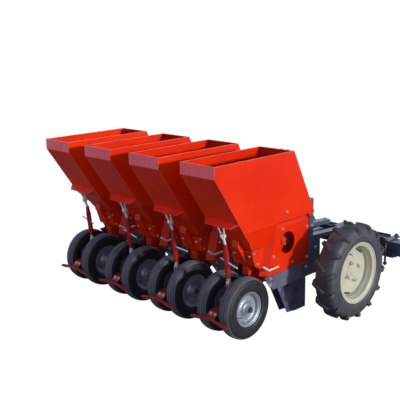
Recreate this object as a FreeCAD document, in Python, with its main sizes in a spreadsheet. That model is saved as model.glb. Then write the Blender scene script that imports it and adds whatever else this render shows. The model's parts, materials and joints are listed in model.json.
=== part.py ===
import FreeCAD, Part
import Sketcher
import math
import os
import sys
from FreeCAD import Vector, Rotation, Placement

# Four-row mounted garlic planter, millimetres, +Z up.
# +X is the machine's right hand, +Y is the travel direction.
# The origin is on the ground below the middle of the machine's outline.
# Every piece is drawn about the press wheel axle line (y = 0 there) and is
# then moved back by origin_y, so that the origin sits under the middle.

os.makedirs("parts", exist_ok=True)
doc = FreeCAD.newDocument("GarlicPlanter")
sheet = doc.addObject("Spreadsheet::Sheet", "Dims")

CELLS = [
    ("origin_y", 600), ("row_pitch", 500),
    # seed hopper
    ("hop_half", 150), ("rim_z", 1190), ("rim_rear", -308), ("band_z", 1113),
    ("rim_front", 443), ("front_low_y", 620), ("front_low_z", 837), ("floor_z", 731),
    ("slope_y", -54), ("sump_top_half", 144), ("sump_front", 290),
    ("sump_mid_z", 637), ("sump_mid_half", 116), ("sump_mid_y", 38), ("sump_mid_front", 283),
    ("sump_z", 575), ("sump_half", 95), ("sump_y", 82), ("sump_low_front", 277),
    ("sheet_t", 4), ("lip", 13), ("cheek_y", 675),
    # elevator housing and the boot at its foot
    ("hous_half", 60), ("hous_low_half", 95), ("hous_z", 382), ("hous_rear", 114),
    ("hous_rear_z", 458), ("hous_front", 616), ("hous_top", 726), ("boot_half", 28),
    # side covers
    ("cover_out", 140), ("cover_foot", 95.5), ("cover_in", 60.5), ("cover_top", 716), ("cover_hole_y", 391),
    ("cover_hole_z", 573), ("cover_hole_dia", 151), ("cover_t", 3.5), ("cover_front", 622), ("cover_lean", 38),
    # row unit frame
    ("bar_out", 150), ("bar_t", 12), ("bar_top", 383.8), ("bar_low", 282),
    ("plate_front", 745), ("post_rear", 624), ("post_front", 668), ("post_top", 830),
    ("beam_z", 567), ("beam_drop", 40), ("beam_high", 32), ("beam_wide", 60), ("beam_front", 1206),
    ("pivot_y", 300), ("pivot_z", 332), ("pivot_dia", 40),
    # furrow opener
    ("shoe_in", 45), ("shoe_out", 120), ("shoe_t", 8), ("shoe_front", 622), ("shoe_nose", 662),
    # press wheels
    ("press_z", 207.5), ("press_dia", 415), ("press_w", 100), ("press_dx", 100),
    ("press_rim_dia", 234), ("axle_dia", 25),
    # drive wheels
    ("drive_y", 750), ("drive_z", 340), ("drive_dia", 680), ("drive_w", 163),
    ("drive_x", 1150), ("drive_rim_dia", 431), ("drive_axle_dia", 40),
    # toolbar and hitch
    ("bar_half", 1400), ("tool", 100), ("tool_y", 1200), ("tool_z", 422), ("tool_wall", 8),
    ("shaft_y", 950), ("shaft_z", 495), ("shaft_dia", 25), ("run_gap", 0.05),
    ("lower_span", 825), ("lower_dia", 28.4), ("lower_y", 1440), ("lower_z", 330),
    ("mast_high", 610), ("top_dia", 25.5), ("top_gap", 52), ("ear_t", 12), ("front_y", 1508),
]


class Q:
    """A number that carries its spreadsheet expression with it."""
    def __init__(self, v, s):
        self.v, self.s = float(v), s

    def _op(self, o, k, flip=False):
        o = o if isinstance(o, Q) else Q(o, repr(float(o)) if o >= 0 else "(%r)" % float(o))
        a, b = (o, self) if flip else (self, o)
        r = {"+": a.v + b.v, "-": a.v - b.v, "*": a.v * b.v}[k] if k != "/" else a.v / b.v
        return Q(r, "(%s %s %s)" % (a.s, k, b.s))

    def __add__(self, o): return self._op(o, "+")
    def __radd__(self, o): return self._op(o, "+", True)
    def __sub__(self, o): return self._op(o, "-")
    def __rsub__(self, o): return self._op(o, "-", True)
    def __mul__(self, o): return self._op(o, "*")
    def __rmul__(self, o): return self._op(o, "*", True)
    def __truediv__(self, o): return self._op(o, "/")
    def __neg__(self): return self._op(-1.0, "*")


D = {}
for row, (name, value) in enumerate(CELLS, start=1):
    sheet.set("A%d" % row, name)
    sheet.set("B%d" % row, str(value))
    sheet.setAlias("B%d" % row, name)
    D[name] = Q(value, "Dims." + name)
doc.recompute()


def val(q):
    return q.v if isinstance(q, Q) else float(q)


def bind(obj, prop, q):
    if isinstance(q, Q):
        obj.setExpression(prop, q.s)
    else:
        path = prop.split(".")
        if len(path) == 1:
            setattr(obj, prop, float(q))
        else:
            obj.setExpression(prop, repr(float(q)))


NODES = []
counter = [0]


def uid(stem):
    counter[0] += 1
    return "%s_%d" % (stem, counter[0])


def place(obj, x=0.0, y=0.0, z=0.0):
    """Where the piece stands; origin_y moves it from the axle line to the origin."""
    for axis, q in (("x", x), ("y", (y if isinstance(y, Q) else Q(y, repr(float(y)))) - D["origin_y"]), ("z", z)):
        if isinstance(q, Q):
            obj.setExpression("Placement.Base." + axis, q.s)
        elif q:
            obj.setExpression("Placement.Base." + axis, repr(float(q)))


def body(label, x=0.0, y=0.0, z=0.0, many=False):
    b = doc.addObject("PartDesign::Body", label)
    b.Label = label
    if many:
        b.AllowCompound = True
    place(b, x, y, z)
    return b


def sketch(b, role, off=0.0):
    s = b.newObject("Sketcher::SketchObject", uid(b.Name + "_sk"))
    for o in b.Origin.OriginFeatures:
        if o.Role == role + "_Plane":
            s.AttachmentSupport = [(o, "")]
    s.MapMode = "FlatFace"
    if isinstance(off, Q) or off:
        bind(s, "AttachmentOffset.Base.z", off)
    return s


def poly(s, pts):
    n, g = len(pts), s.GeometryCount
    v = [Vector(val(a), val(c), 0) for a, c in pts]
    s.addGeometry([Part.LineSegment(v[i], v[(i + 1) % n]) for i in range(n)], False)
    for i in range(n):
        s.addConstraint(Sketcher.Constraint("Coincident", g + i, 2, g + (i + 1) % n, 1))
    for i, p in enumerate(pts):
        for kind, q in (("DistanceX", p[0]), ("DistanceY", p[1])):
            c = s.addConstraint(Sketcher.Constraint(kind, -1, 1, g + i, 1, val(q)))
            if isinstance(q, Q):
                s.setExpression("Constraints[%d]" % c, q.s)


def ring(s, cx, cy, dia):
    g = s.GeometryCount
    s.addGeometry(Part.Circle(Vector(val(cx), val(cy), 0), Vector(0, 0, 1), val(dia) / 2), False)
    for kind, q in (("DistanceX", cx), ("DistanceY", cy)):
        c = s.addConstraint(Sketcher.Constraint(kind, -1, 1, g, 3, val(q)))
        if isinstance(q, Q):
            s.setExpression("Constraints[%d]" % c, q.s)
    c = s.addConstraint(Sketcher.Constraint("Diameter", g, val(dia)))
    if isinstance(dia, Q):
        s.setExpression("Constraints[%d]" % c, dia.s)


def pad(b, role, off, length, pts=None, rings=()):
    """Pad outlines drawn on one origin plane, starting at off along its normal."""
    s = sketch(b, role, off)
    if pts:
        poly(s, pts)
    for r in rings:
        ring(s, *r)
    p = b.newObject("PartDesign::Pad", uid(b.Name + "_pad"))
    p.Profile = s
    bind(p, "Length", length)
    b.Tip = p
    return p


def cut(b, role, off, length, pts=None, rings=(), more=()):
    """Pocket from off, against the plane's normal, by length."""
    s = sketch(b, role, off)
    if pts:
        poly(s, pts)
    for m in more:
        poly(s, m)
    for r in rings:
        ring(s, *r)
    p = b.newObject("PartDesign::Pocket", uid(b.Name + "_cut"))
    p.Profile = s
    bind(p, "Length", length)
    b.Tip = p
    doc.recompute()
    if p.Shape.isNull() or abs(p.Shape.Volume - p.BaseFeature.Shape.Volume) < 1.0:
        raise RuntimeError(b.Label + ": a pocket cut nothing")
    return p


def turn(b, pts):
    """Revolve an outline drawn as (x, radius) about the X axis."""
    s = sketch(b, "XY")
    poly(s, pts)
    r = b.newObject("PartDesign::Revolution", uid(b.Name + "_rev"))
    r.Profile = s
    r.ReferenceAxis = (s, ["H_Axis"])
    r.Angle = 360.0
    b.Tip = r
    return r


def node(obj):
    NODES.append(obj)
    return obj


def group(label, pieces):
    """Like pieces of one rigid body, kept as separate solids in one node."""
    c = doc.addObject("Part::Compound", label)
    c.Label = label
    c.Links = pieces
    return node(c)


d = D
UNITS = (1, 2, 3, 4)


def ux(k):
    return d["row_pitch"] * (k - 2.5)


# ---------------------------------------------------------------- seed hoppers
def hopper(k):
    b = body("hopper_%d" % k, ux(k))
    h, t = d["hop_half"], d["sheet_t"]
    pad(b, "YZ", -h, h * 2, [
        (d["rim_rear"], d["rim_z"]), (d["rim_rear"], d["band_z"]), (d["slope_y"], d["floor_z"]),
        (d["front_low_y"], d["floor_z"]), (d["front_low_y"], d["front_low_z"]), (d["rim_front"], d["rim_z"])])
    # the sump below the floor narrows towards the cup elevator
    steps = [(d["floor_z"], d["sump_top_half"], d["slope_y"], d["sump_front"]),
             (d["sump_mid_z"], d["sump_mid_half"], d["sump_mid_y"], d["sump_mid_front"]),
             (d["sump_z"], d["sump_half"], d["sump_y"], d["sump_low_front"])]
    outer = []
    for z, w, y0, y1 in steps:
        outer.append(sketch(b, "XY", z))
        poly(outer[-1], [(-w, y0), (w, y0), (w, y1), (-w, y1)])
    lo = b.newObject("PartDesign::AdditiveLoft", uid(b.Name + "_loft"))
    lo.Profile, lo.Sections, lo.Ruled = outer[0], outer[1:], True
    b.Tip = lo
    doc.recompute()
    # inside: the wall is one sheet thick, the folded rim stands inwards
    hi = h - t
    cut(b, "YZ", hi, hi * 2, [
        (d["rim_rear"] + t, d["rim_z"] - t), (d["rim_rear"] + t, d["band_z"] + 1),
        (d["slope_y"] + t * 1.2, d["floor_z"] + t), (d["front_low_y"] - t, d["floor_z"] + t),
        (d["front_low_y"] - t, d["front_low_z"] - 1), (d["rim_front"] - t * 1.12, d["rim_z"] - t)])
    lp = d["lip"]
    cut(b, "XY", d["rim_z"], t * 2, [
        (-h + lp, d["rim_rear"] + lp), (h - lp, d["rim_rear"] + lp),
        (h - lp, d["rim_front"] - lp), (-h + lp, d["rim_front"] - lp)])
    inner = []
    for i, (z, w, y0, y1) in enumerate(steps):
        inner.append(sketch(b, "XY", z + t if i != 1 else z))
        wi = w - t * 1.1
        poly(inner[-1], [(-wi, y0 + t * 1.3), (wi, y0 + t * 1.3), (wi, y1 - t), (-wi, y1 - t)])
    sl = b.newObject("PartDesign::SubtractiveLoft", uid(b.Name + "_sump"))
    sl.Profile, sl.Sections, sl.Ruled = inner[0], inner[1:], True
    b.Tip = sl
    # cheeks: the side sheets run forward over the frame posts
    for s in (-1, 1):
        pad(b, "YZ", h - t if s > 0 else -h, t, [
            (d["front_low_y"] - t, d["front_low_z"] - 4), (d["front_low_y"], d["front_low_z"]),
            (d["cheek_y"], d["floor_z"]), (d["front_low_y"], d["floor_z"] - 14),
            (d["front_low_y"] - t, d["floor_z"] - 14)])
    return node(b)


# ------------------------------------------------------- cup elevator housings
def housing(k):
    b = body("elevator_housing_%d" % k, ux(k))
    n = d["hous_half"]
    pad(b, "YZ", -n, n * 2, [
        (d["hous_rear"] + 89, d["hous_z"]), (d["hous_rear"] + 89, d["sump_z"] - 8), (d["sump_low_front"] + 5, d["sump_z"] - 8),
        (d["sump_front"] + 7, d["hous_top"]), (d["hous_front"], d["hous_top"]), (d["hous_front"], d["hous_z"])])
    m = d["hous_low_half"]
    pad(b, "YZ", -m, m * 2, [
        (d["hous_rear"] + 88, d["hous_z"]), (d["hous_rear"] + 88, d["hous_rear_z"] - 56), (d["hous_rear"] + 24, d["hous_rear_z"] - 15),
        (d["hous_rear"], d["hous_rear_z"]), (d["sump_y"] - 2, d["sump_z"] - 8), (d["sump_low_front"], d["sump_z"] - 8),
        (d["sump_low_front"] - 14, d["hous_z"])])
    # bosses of the lower elevator shaft on both walls
    for s in (-1, 1):
        pad(b, "YZ", n if s > 0 else -n - 9, 9, None, [(450, 556, 62)])
        pad(b, "YZ", n if s > 0 else -n - 14, 14, None, [(450, 556, 32)])
    return b


# ----------------------------------------------------------------- side covers
def side_cover(k, s):
    """Deep tray beside the elevator: outer sheet with a round hole, leaning rear flange."""
    b = body("side_cover_%d%s" % (k, "R" if s > 0 else "L"), ux(k))
    out, foot, inn, t, lean = d["cover_out"], d["cover_foot"], d["cover_in"], d["cover_t"], d["cover_lean"]
    zt, yf = d["cover_top"], d["cover_front"]

    def loft(kind, x0, x1, p0, p1):
        a, c = sketch(b, "YZ", x0 * s), sketch(b, "YZ", x1 * s)
        poly(a, p0)
        poly(c, p1)
        f = b.newObject("PartDesign::" + kind, uid(b.Name + "_loft"))
        f.Profile, f.Sections, f.Ruled = a, [c], True
        b.Tip = f
        doc.recompute()
        return f

    rear = [(310, zt), (282, 704), (241, 563), (187, 384)]
    loft("AdditiveLoft", out, foot, rear + [(yf, 384), (yf, zt)], [(y - lean, z) for y, z in rear] + [(yf, 384), (yf, zt)])
    # the flat walls go on to the elevator
    pad(b, "YZ", inn if s > 0 else -foot - 0.5, foot - inn + 0.5, [(306, zt - 8), (306, 384), (yf, 384), (yf, zt - 8)])
    # the top flange leans in towards the hopper
    tri = [(out * s + s * 1.0, zt + 1), (out * s + s * 1.0, zt - 26), (out * s - s * 16.0, zt + 1)]
    sk = sketch(b, "XZ", 0)
    poly(sk, tri)
    p = b.newObject("PartDesign::Pocket", uid(b.Name + "_lean"))
    p.Profile = sk
    p.Length = 900.0
    p.Reversed = False
    b.Tip = p
    doc.recompute()
    if abs(p.Shape.Volume - p.BaseFeature.Shape.Volume) < 1.0:
        p.Reversed = True
        doc.recompute()
    if abs(p.Shape.Volume - p.BaseFeature.Shape.Volume) < 1.0:
        raise RuntimeError("side cover flange not cut")
    # hollow behind the outer sheet
    hollow = [(313, zt - 32), (289, zt - 32), (246, 563), (193, 389)]
    x1 = out - t
    r = (lean / (out - foot))
    front = [(yf - t, 389), (yf - t, zt - 32)]
    loft("SubtractiveLoft", x1, foot - 1, [(y - r.v * t.v, z) for y, z in hollow] + front,
         [(y - r.v * (out.v - foot.v + 1), z) for y, z in hollow] + front)
    cut(b, "YZ", foot if s > 0 else -inn + 2, foot - inn + 2, [(300, zt - 32), (300, 389), (yf - t, 389), (yf - t, zt - 32)])
    # cut back where the hopper's sump passes
    clear = 0.6
    prof = []
    for z, w, y1 in ((d["floor_z"], d["sump_top_half"], d["sump_front"]), (d["sump_mid_z"], d["sump_mid_half"], d["sump_mid_front"]),
                     (d["sump_z"] - 0.6, d["sump_half"], d["sump_low_front"])):
        prof.append(sketch(b, "XY", z))
        poly(prof[-1], [(-w - clear, -80), (w + clear, -80), (w + clear, y1 + clear), (-w - clear, y1 + clear)])
    f = b.newObject("PartDesign::SubtractiveLoft", uid(b.Name + "_sump"))
    f.Profile, f.Sections, f.Ruled = prof[0], prof[1:], True
    b.Tip = f
    doc.recompute()
    cut(b, "YZ", (out + 5) if s > 0 else -x1 + 1, t + 6, None, [(d["cover_hole_y"], d["cover_hole_z"], d["cover_hole_dia"])])
    return b


# ------------------------------------------------------------- row unit frames
def unit_frame(k):
    b = body("unit_frame_%d" % k, ux(k))
    o, t = d["bar_out"], d["bar_t"]
    # cross tube at the front ties everything, so it comes first
    pad(b, "YZ", -(o - 6), (o - 6) * 2, [(676, 386), (736, 386), (736, 444), (676, 444)])
    for s in (-1, 1):
        pad(b, "YZ", o - t if s > 0 else -o, t, [
            (143, d["bar_top"]), (224, d["bar_low"]), (712, d["bar_low"]), (d["plate_front"], 318),
            (d["plate_front"], 540), (d["post_rear"], 550), (d["post_rear"], d["bar_top"])])
        # the beam slopes down to the toolbar
        w = d["beam_wide"]
        pad(b, "YZ", o - w if s > 0 else -o, w, [
            (d["post_rear"], d["beam_z"] - d["beam_high"]), (d["beam_front"], d["beam_z"] - d["beam_high"] - d["beam_drop"]),
            (d["beam_front"], d["beam_z"] - d["beam_drop"]), (d["post_rear"], d["beam_z"])])
        pad(b, "YZ", o - 52 if s > 0 else -o + 5, 47, [
            (d["post_rear"], 318), (d["post_front"], 318), (d["post_front"], d["post_top"]), (d["post_rear"], d["post_top"])])
        # bearing hanger of the cross shaft under each beam
        pad(b, "YZ", o - 46 if s > 0 else -o + 18, 28, [
            (d["shaft_y"] - 46, 530), (d["shaft_y"] - 24, d["shaft_z"] - 28),
            (d["shaft_y"] + 24, d["shaft_z"] - 28), (d["shaft_y"] + 46, 530)])
    cut(b, "YZ", 170, 340, None, [(d["shaft_y"], d["shaft_z"], d["shaft_dia"] + d["run_gap"] * 2)])
    # rear cross tube, which is also the pivot of the press wheel arm
    pad(b, "YZ", -(o - 6), (o - 6) * 2, None, [(d["pivot_y"], d["pivot_z"], d["pivot_dia"])])
    return node(b)


# -------------------------------------------------------------- furrow openers
def opener(k):
    """Narrow shoe ahead of the right-hand press wheel, on a plate under the frame."""
    b = body("furrow_opener_%d" % k, ux(k))
    i, o, t = d["shoe_in"], d["shoe_out"], d["shoe_t"]
    m = (i + o) / 2
    # plan outline of the shoe: two cheeks and a wedge nose, open behind
    prof = [(i, 290), (i, d["shoe_front"]), (m, d["shoe_nose"]), (o, d["shoe_front"]), (o, 290),
            (o - t, 290), (o - t, d["shoe_front"] - 3), (m, d["shoe_nose"] - 12), (i + t, d["shoe_front"] - 3), (i + t, 290)]
    pad(b, "XY", 42, 238, prof)
    # rear edge and sole are cut to the side profile
    sk = sketch(b, "YZ", 40)
    poly(sk, [(280, 20), (280, 281), (303, 281), (391, 110), (420, 53), (462, 50), (532, 38), (629, 40), (740, 48), (760, 20)])
    p = b.newObject("PartDesign::Pocket", uid(b.Name + "_side"))
    p.Profile = sk
    bind(p, "Length", 85)
    p.Reversed = True
    b.Tip = p
    doc.recompute()
    if abs(p.Shape.Volume - p.BaseFeature.Shape.Volume) < 1.0:
        raise RuntimeError("opener profile not cut")
    # top plate that bolts under the frame bars
    pad(b, "XY", 272, 9, [(-o - 18, 330), (o + 18, 330), (o + 18, 600), (-o - 18, 600)])
    cut(b, "XY", 290, 30, [(i + t, 380), (o - t, 380), (o - t, 560), (i + t, 560)])
    return b


# ------------------------------------------------------------ press wheel arms
def wheel_arm(k):
    b = body("wheel_arm_%d" % k, ux(k))
    pad(b, "YZ", -24, 48, [
        (290, 296), (290, 362), (262, 366), (60, 300), (-22, 262), (-52, 215), (-40, 172), (20, 168), (110, 210)])
    pad(b, "YZ", -28, 56, None, [(d["pivot_y"], d["pivot_z"], 76)])
    pad(b, "YZ", -38, 76, None, [(0, d["press_z"], 66)])
    # lug for the depth screw
    pad(b, "YZ", -7, 14, [(-8, 250), (-14, 352), (-56, 352), (-62, 330), (-50, 215)])
    # tail that carries the scraper
    pad(b, "YZ", -5, 10, [(-45, 225), (-66, 221.5), (-124, 213), (-181, 201), (-207, 175), (-229, 171), (-229, 160), (-205, 160), (-120, 176), (-40, 190)])
    cut(b, "YZ", 40, 80, None, [(0, d["press_z"], d["axle_dia"] + d["run_gap"] * 2)])
    cut(b, "YZ", 40, 80, None, [(d["pivot_y"], d["pivot_z"], d["pivot_dia"])])
    cut(b, "YZ", 10, 20, None, [(-35, 332, 16)])
    return node(b)


def scraper(k):
    """Sloping plate between the tyres with a narrow wing behind each of them."""
    b = body("scraper_%d" % k, ux(k))
    pad(b, "YZ", -36, 72, [
        (-236, 165), (-236, 180), (-210, 184), (-183, 211), (-124, 222), (-70, 230), (-70, 223), (-124, 214), (-180.5, 202.3), (-206.3, 176.5), (-229.5, 172.3), (-229.5, 165)])
    pad(b, "XZ", 230, 6, [
        (-166, 147), (-169, 156), (-150, 168), (-30, 184), (30, 184), (150, 168), (169, 156), (166, 147),
        (112, 148), (30, 165), (-30, 165), (-112, 148)])
    return b


# --------------------------------------------------------- depth adjust screws
TUBE_LOW, TUBE_TOP = (-43.0, 398.0), (-68.0, 632.0)
BAR_AT = (-55.5, 515.0)


def rod(name, k, y1, z1, y2, z2, dia):
    """Round bar between two points of a unit's middle plane."""
    c = doc.addObject("Part::Cylinder", name)
    c.Radius, c.Height = dia / 2.0, math.hypot(y2 - y1, z2 - z1)
    c.Placement = Placement(Vector(0, 0, 0), Rotation(Vector(1, 0, 0), math.degrees(math.atan2(y1 - y2, z2 - z1))))
    place(c, ux(k), y1, z1)
    return c


def xbar(name, x0, length, y, z, dia):
    """Round bar along X from x0."""
    c = doc.addObject("Part::Cylinder", name)
    c.Radius, c.Height = dia / 2.0, length
    c.Placement = Placement(Vector(0, 0, 0), Rotation(Vector(0, 1, 0), 90))
    place(c, x0, y, z)
    return c


def fuse(name, pieces):
    f = doc.addObject("Part::MultiFuse", name)
    f.Label = name
    f.Shapes = pieces
    f.Refine = True
    return f


def minus(name, base, tool):
    c = doc.addObject("Part::Cut", name)
    c.Label = name
    c.Base, c.Tool = base, tool
    return c


def strut(name, k, a, c, dia):
    """Round bar between two points given from a unit's middle."""
    v = Vector(c[0] - a[0], c[1] - a[1], c[2] - a[2])
    o = doc.addObject("Part::Cylinder", name)
    o.Radius, o.Height = dia / 2.0, v.Length
    o.Placement = Placement(Vector(0, 0, 0), Rotation(Vector(0, 0, 1), v))
    place(o, ux(k) + a[0], a[1], a[2])
    return o


BARS = {1: (-95, 51, -14), 2: (-62, 84, -14), 3: (-16, 130, -4), 4: (-54, 92, -15)}


def bar_ends(k, more=0.0):
    x0, x1, deg = BARS[k]
    t = math.tan(math.radians(deg))
    x0, x1 = x0 - more, x1 + more
    return (x0, BAR_AT[0], BAR_AT[1] + x0 * t), (x1, BAR_AT[0], BAR_AT[1] + x1 * t)


def screw_tube(k):
    """Turned tube, thicker over the middle."""
    (y1, z1), (y2, z2) = TUBE_LOW, TUBE_TOP

    def at(f):
        return y1 + (y2 - y1) * f, z1 + (z2 - z1) * f

    parts = [rod("tube_core_%d" % k, k, y1, z1, y2, z2, 28)]
    for f0, f1, r in ((0.20, 0.80, 37), (0.12, 0.88, 32.5)):
        parts.append(rod("tube_swell_%d_%d" % (k, int(r)), k, *(at(f0) + at(f1) + (r,))))
    t = math.tan(math.radians(BARS[k][2]))
    hole = strut("tube_hole_%d" % k, k, (-30, BAR_AT[0], BAR_AT[1] - 30 * t), (30, BAR_AT[0], BAR_AT[1] + 30 * t), 11)
    return minus("depth_tube_%d" % k, fuse("tube_body_%d" % k, parts), hole)


def screw_top(k):
    """Two legs under the bracket, pin, eye and threaded rod."""
    b = body("top_clevis_%d" % k, ux(k))
    pad(b, "YZ", -15, 30, None, [(-88, 695, 15)])
    pad(b, "YZ", -8, 16, None, [(-88, 695, 38)])
    legs = [strut("top_leg_%d_%d" % (k, i), k, (12 * i, -87, 692), (29 * i, -114, 777), 10) for i in (-1, 1)]
    return fuse("screw_top_%d" % k, [b, rod("top_rod_%d" % k, k, -69.3, 637.0, -86.5, 684.0, 19)] + legs)


def screw_low(k):
    """Fork with its pin on the arm's lug, and threaded rod."""
    b = body("low_fork_%d" % k, ux(k))
    pad(b, "YZ", -19, 38, None, [(-35, 332, 15.8)])
    for s in (-1, 1):
        pad(b, "YZ", 8 if s > 0 else -14, 6, [(-53, 320), (-20, 320), (-18, 345), (-28, 372), (-52, 372), (-54, 345)])
    pad(b, "YZ", -14, 28, [(-52, 360), (-28, 360), (-30, 378), (-50, 378)])
    return fuse("screw_low_%d" % k, [b, rod("low_rod_%d" % k, k, -40.0, 372.0, -42.8, 396.0, 18)])


def bracket(k):
    """Shelf across the rear slope that carries the screw's clevis."""
    b = body("depth_bracket_%d" % k, ux(k))
    h = d["hop_half"]
    pad(b, "YZ", -h, h * 2, [(-100.5, 800), (-142, 772.3), (-138.7, 767.3), (-97.2, 795)])
    cut(b, "XY", 810, 60, [(h + 2, -98), (h + 2, -146), (h - 46, -146)], more=[
        [(-h - 2, -98), (-h - 2, -146), (-h + 46, -146)]])
    return b


def rear_cover(k):
    """Narrow boot behind the foot of the elevator, from the sump down to the arm."""
    b = body("rear_cover_%d" % k, ux(k))
    pad(b, "YZ", -d["boot_half"], d["boot_half"] * 2, [
        (33, 638), (22, 598), (76, 515), (126, 430), (125, 380), (206, 356), (248, 370), (248, 380.5),
        (200.5, 380.5), (200.5, 401), (136.5, 441), (112.5, 456), (77.5, 565), (78.5, 575), (36, 634)])
    return b


def latch(k):
    """V handle of the clean-out latch, in front of the right cover's rear flange."""
    b = body("latch_stub_%d" % k, ux(k))
    pad(b, "YZ", 121.0, 46.5, None, [(176, 434, 14)])
    one = rod("latch_a_%d" % k, k, 176, 434, 118, 470, 13)
    two = rod("latch_b_%d" % k, k, 176, 434, 272, 436, 13)
    for r in (one, two):
        r.setExpression("Placement.Base.x", (ux(k) + 160).s)
    return fuse("latch_%d" % k, [b, one, two])


for k in UNITS:
    hopper(k)
group("elevator_housings", [housing(k) for k in UNITS])
group("side_covers", [side_cover(k, s) for k in UNITS for s in (-1, 1)])
group("rear_covers", [rear_cover(k) for k in UNITS])
group("latch_handles", [latch(k) for k in UNITS])
for k in UNITS:
    unit_frame(k)
group("furrow_openers", [opener(k) for k in UNITS])
for k in UNITS:
    wheel_arm(k)
group("scrapers", [scraper(k) for k in UNITS])
group("depth_brackets", [bracket(k) for k in UNITS])
group("depth_tubes", [screw_tube(k) for k in UNITS])
group("depth_screws", [f(k) for k in UNITS for f in (screw_top, screw_low)])
group("tommy_bars", [strut("tommy_bar_%d" % k, k, *(bar_ends(k) + (10,))) for k in UNITS])


# ---------------------------------------------------------------- press wheels
def press_tyre(k, s):
    b = body("press_tyre_%d%s" % (k, "R" if s > 0 else "L"), ux(k) + d["press_dx"] * s, 0.0, d["press_z"])
    R = d["press_dia"] / 2
    half = [(28, -104.5), (31, -97.5), (35, -89), (45, -86), (49, -72), (50, -56), (49, -38), (46.5, -25),
            (42.5, -14), (36, -6.5), (26, -2.4), (13, -0.5)]
    pts = [(x, R + y) for x, y in half] + [(0, R)] + [(-x, R + y) for x, y in reversed(half)]
    turn(b, pts)
    return b


def press_rims(k):
    """Both rims with their hubs, and the axle they are pressed on."""
    a = d["axle_dia"] / 2
    half = [(-34, a + 0.1), (-34, 26), (-8, 30), (1, 46), (1, 88), (-4, 94), (-29, 97), (-35, 107), (-41, 112), (-41, 117),
            (-37, 117), (-33, 110.5), (-30, 102), (-15, 99.5), (15, 99.5), (30, 102), (33, 110.5), (37, 117), (41, 117),
            (41, 112), (35, 107), (29, 97), (13, 94), (8, 88), (8, 60), (13, 48), (23, 43), (29, 35), (29, 23), (34, 21),
            (34, a + 0.1)]
    rims = []
    for s in (-1, 1):
        b = body("press_rim_%d%s" % (k, "R" if s > 0 else "L"), ux(k) + d["press_dx"] * s, 0.0, d["press_z"])
        turn(b, [(x * s, r) for x, r in half])
        rims.append(b)
    return group("press_rims_%d" % k, rims + [xbar("press_axle_%d" % k, ux(k) - 165, 330, 0.0, d["press_z"], 25)])


for k in UNITS:
    group("press_tyres_%d" % k, [press_tyre(k, s) for s in (-1, 1)])
    press_rims(k)


# ---------------------------------------------------------------- drive wheels
def drive_tyre(name, s):
    b = body("drive_tyre_" + name, d["drive_x"] * s, d["drive_y"], d["drive_z"])
    R = d["drive_dia"] / 2
    half = [(56, -147.5), (59.5, -139), (65.8, -123), (74, -119), (80, -100), (81.5, -78), (80, -58), (77, -42), (76.5, -26),
            (76, -10), (70, -5), (48, -1.8), (24, -0.4)]
    pts = [(x, R + y) for x, y in half] + [(0, R)] + [(-x, R + y) for x, y in reversed(half)]
    turn(b, pts)
    return node(b)


def drive_rim(name, s):
    """Rim, disc and hub, and the stub axle in it; s points outwards."""
    b = body("drive_wheel_rim_" + name, d["drive_x"] * s, d["drive_y"], d["drive_z"])
    f = d["drive_rim_dia"] / 2
    a = d["drive_axle_dia"] / 2
    barrel = [(-73, f), (-67, f), (-61, 200), (-57, 190.5), (-34, 186), (-20, 178.5), (20, 178.5), (34, 186), (57, 190.5),
              (61, 200), (67, f), (73, f), (73, 209), (68, 206), (65, 198), (60, 186), (37, 181), (22, 173.5), (-22, 173.5),
              (-37, 181), (-60, 186), (-65, 198), (-68, 206), (-73, 209)]
    disc = [(-78, a + 0.1), (-78, 48), (-3, 52), (-3, 60), (9, 66), (9, 150), (4, 163), (-17, 168), (-17, 175),
            (-1, 175), (10, 166), (15, 152), (15, 62), (23, 56), (23, 30), (19, 0), (14, 0), (14, a + 0.1)]
    turn(b, [(x * s, r) for x, r in disc])
    turn(b, [(x * s, r) for x, r in barrel])
    # wheel studs
    for ang in (20.0, 110.0, 200.0, 290.0):
        cy, cz = 69 * math.cos(math.radians(ang)), 69 * math.sin(math.radians(ang))
        pad(b, "YZ", 14 if s > 0 else -32, 18, None, [(cy, cz, 17)])
    # hand slots beside the well
    for ang in (57.0, 252.0):
        q = math.radians(ang - 90.0)
        p = [(-45, 147), (45, 147), (40, 163), (-40, 163)]
        p = [(y * math.cos(q) - z * math.sin(q), y * math.sin(q) + z * math.cos(q)) for y, z in p]
        cut(b, "YZ", 28 if s > 0 else 22, 50, p)
    stub = xbar("drive_axle_" + name, d["drive_x"] * s + (-190 if s > 0 else -13.8), 203.8, d["drive_y"], d["drive_z"], 40)
    return group("drive_rim_" + name, [b, stub])


for name, s in (("left", -1), ("right", 1)):
    drive_tyre(name, s)
    drive_rim(name, s)


def carrier(name, s):
    """Trailing arm that carries the wheel's stub axle."""
    b = body("wheel_carrier_" + name, 0.0)
    x = 955
    pad(b, "YZ", x if s > 0 else -x - 50, 50, [
        (738, 300), (762, 385), (1148, 468), (1148, 378), (900, 322)])
    pad(b, "YZ", x if s > 0 else -x - 50, 50, None, [(d["drive_y"], d["drive_z"], 100)])
    pad(b, "YZ", x - 35 if s > 0 else -x - 85, 120, [(1136, 374), (1149.5, 374), (1149.5, 470), (1136, 470)])
    cut(b, "YZ", 1200 if s > 0 else -800, 400, None, [(d["drive_y"], d["drive_z"], d["drive_axle_dia"] + d["run_gap"] * 2)])
    return b


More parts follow.
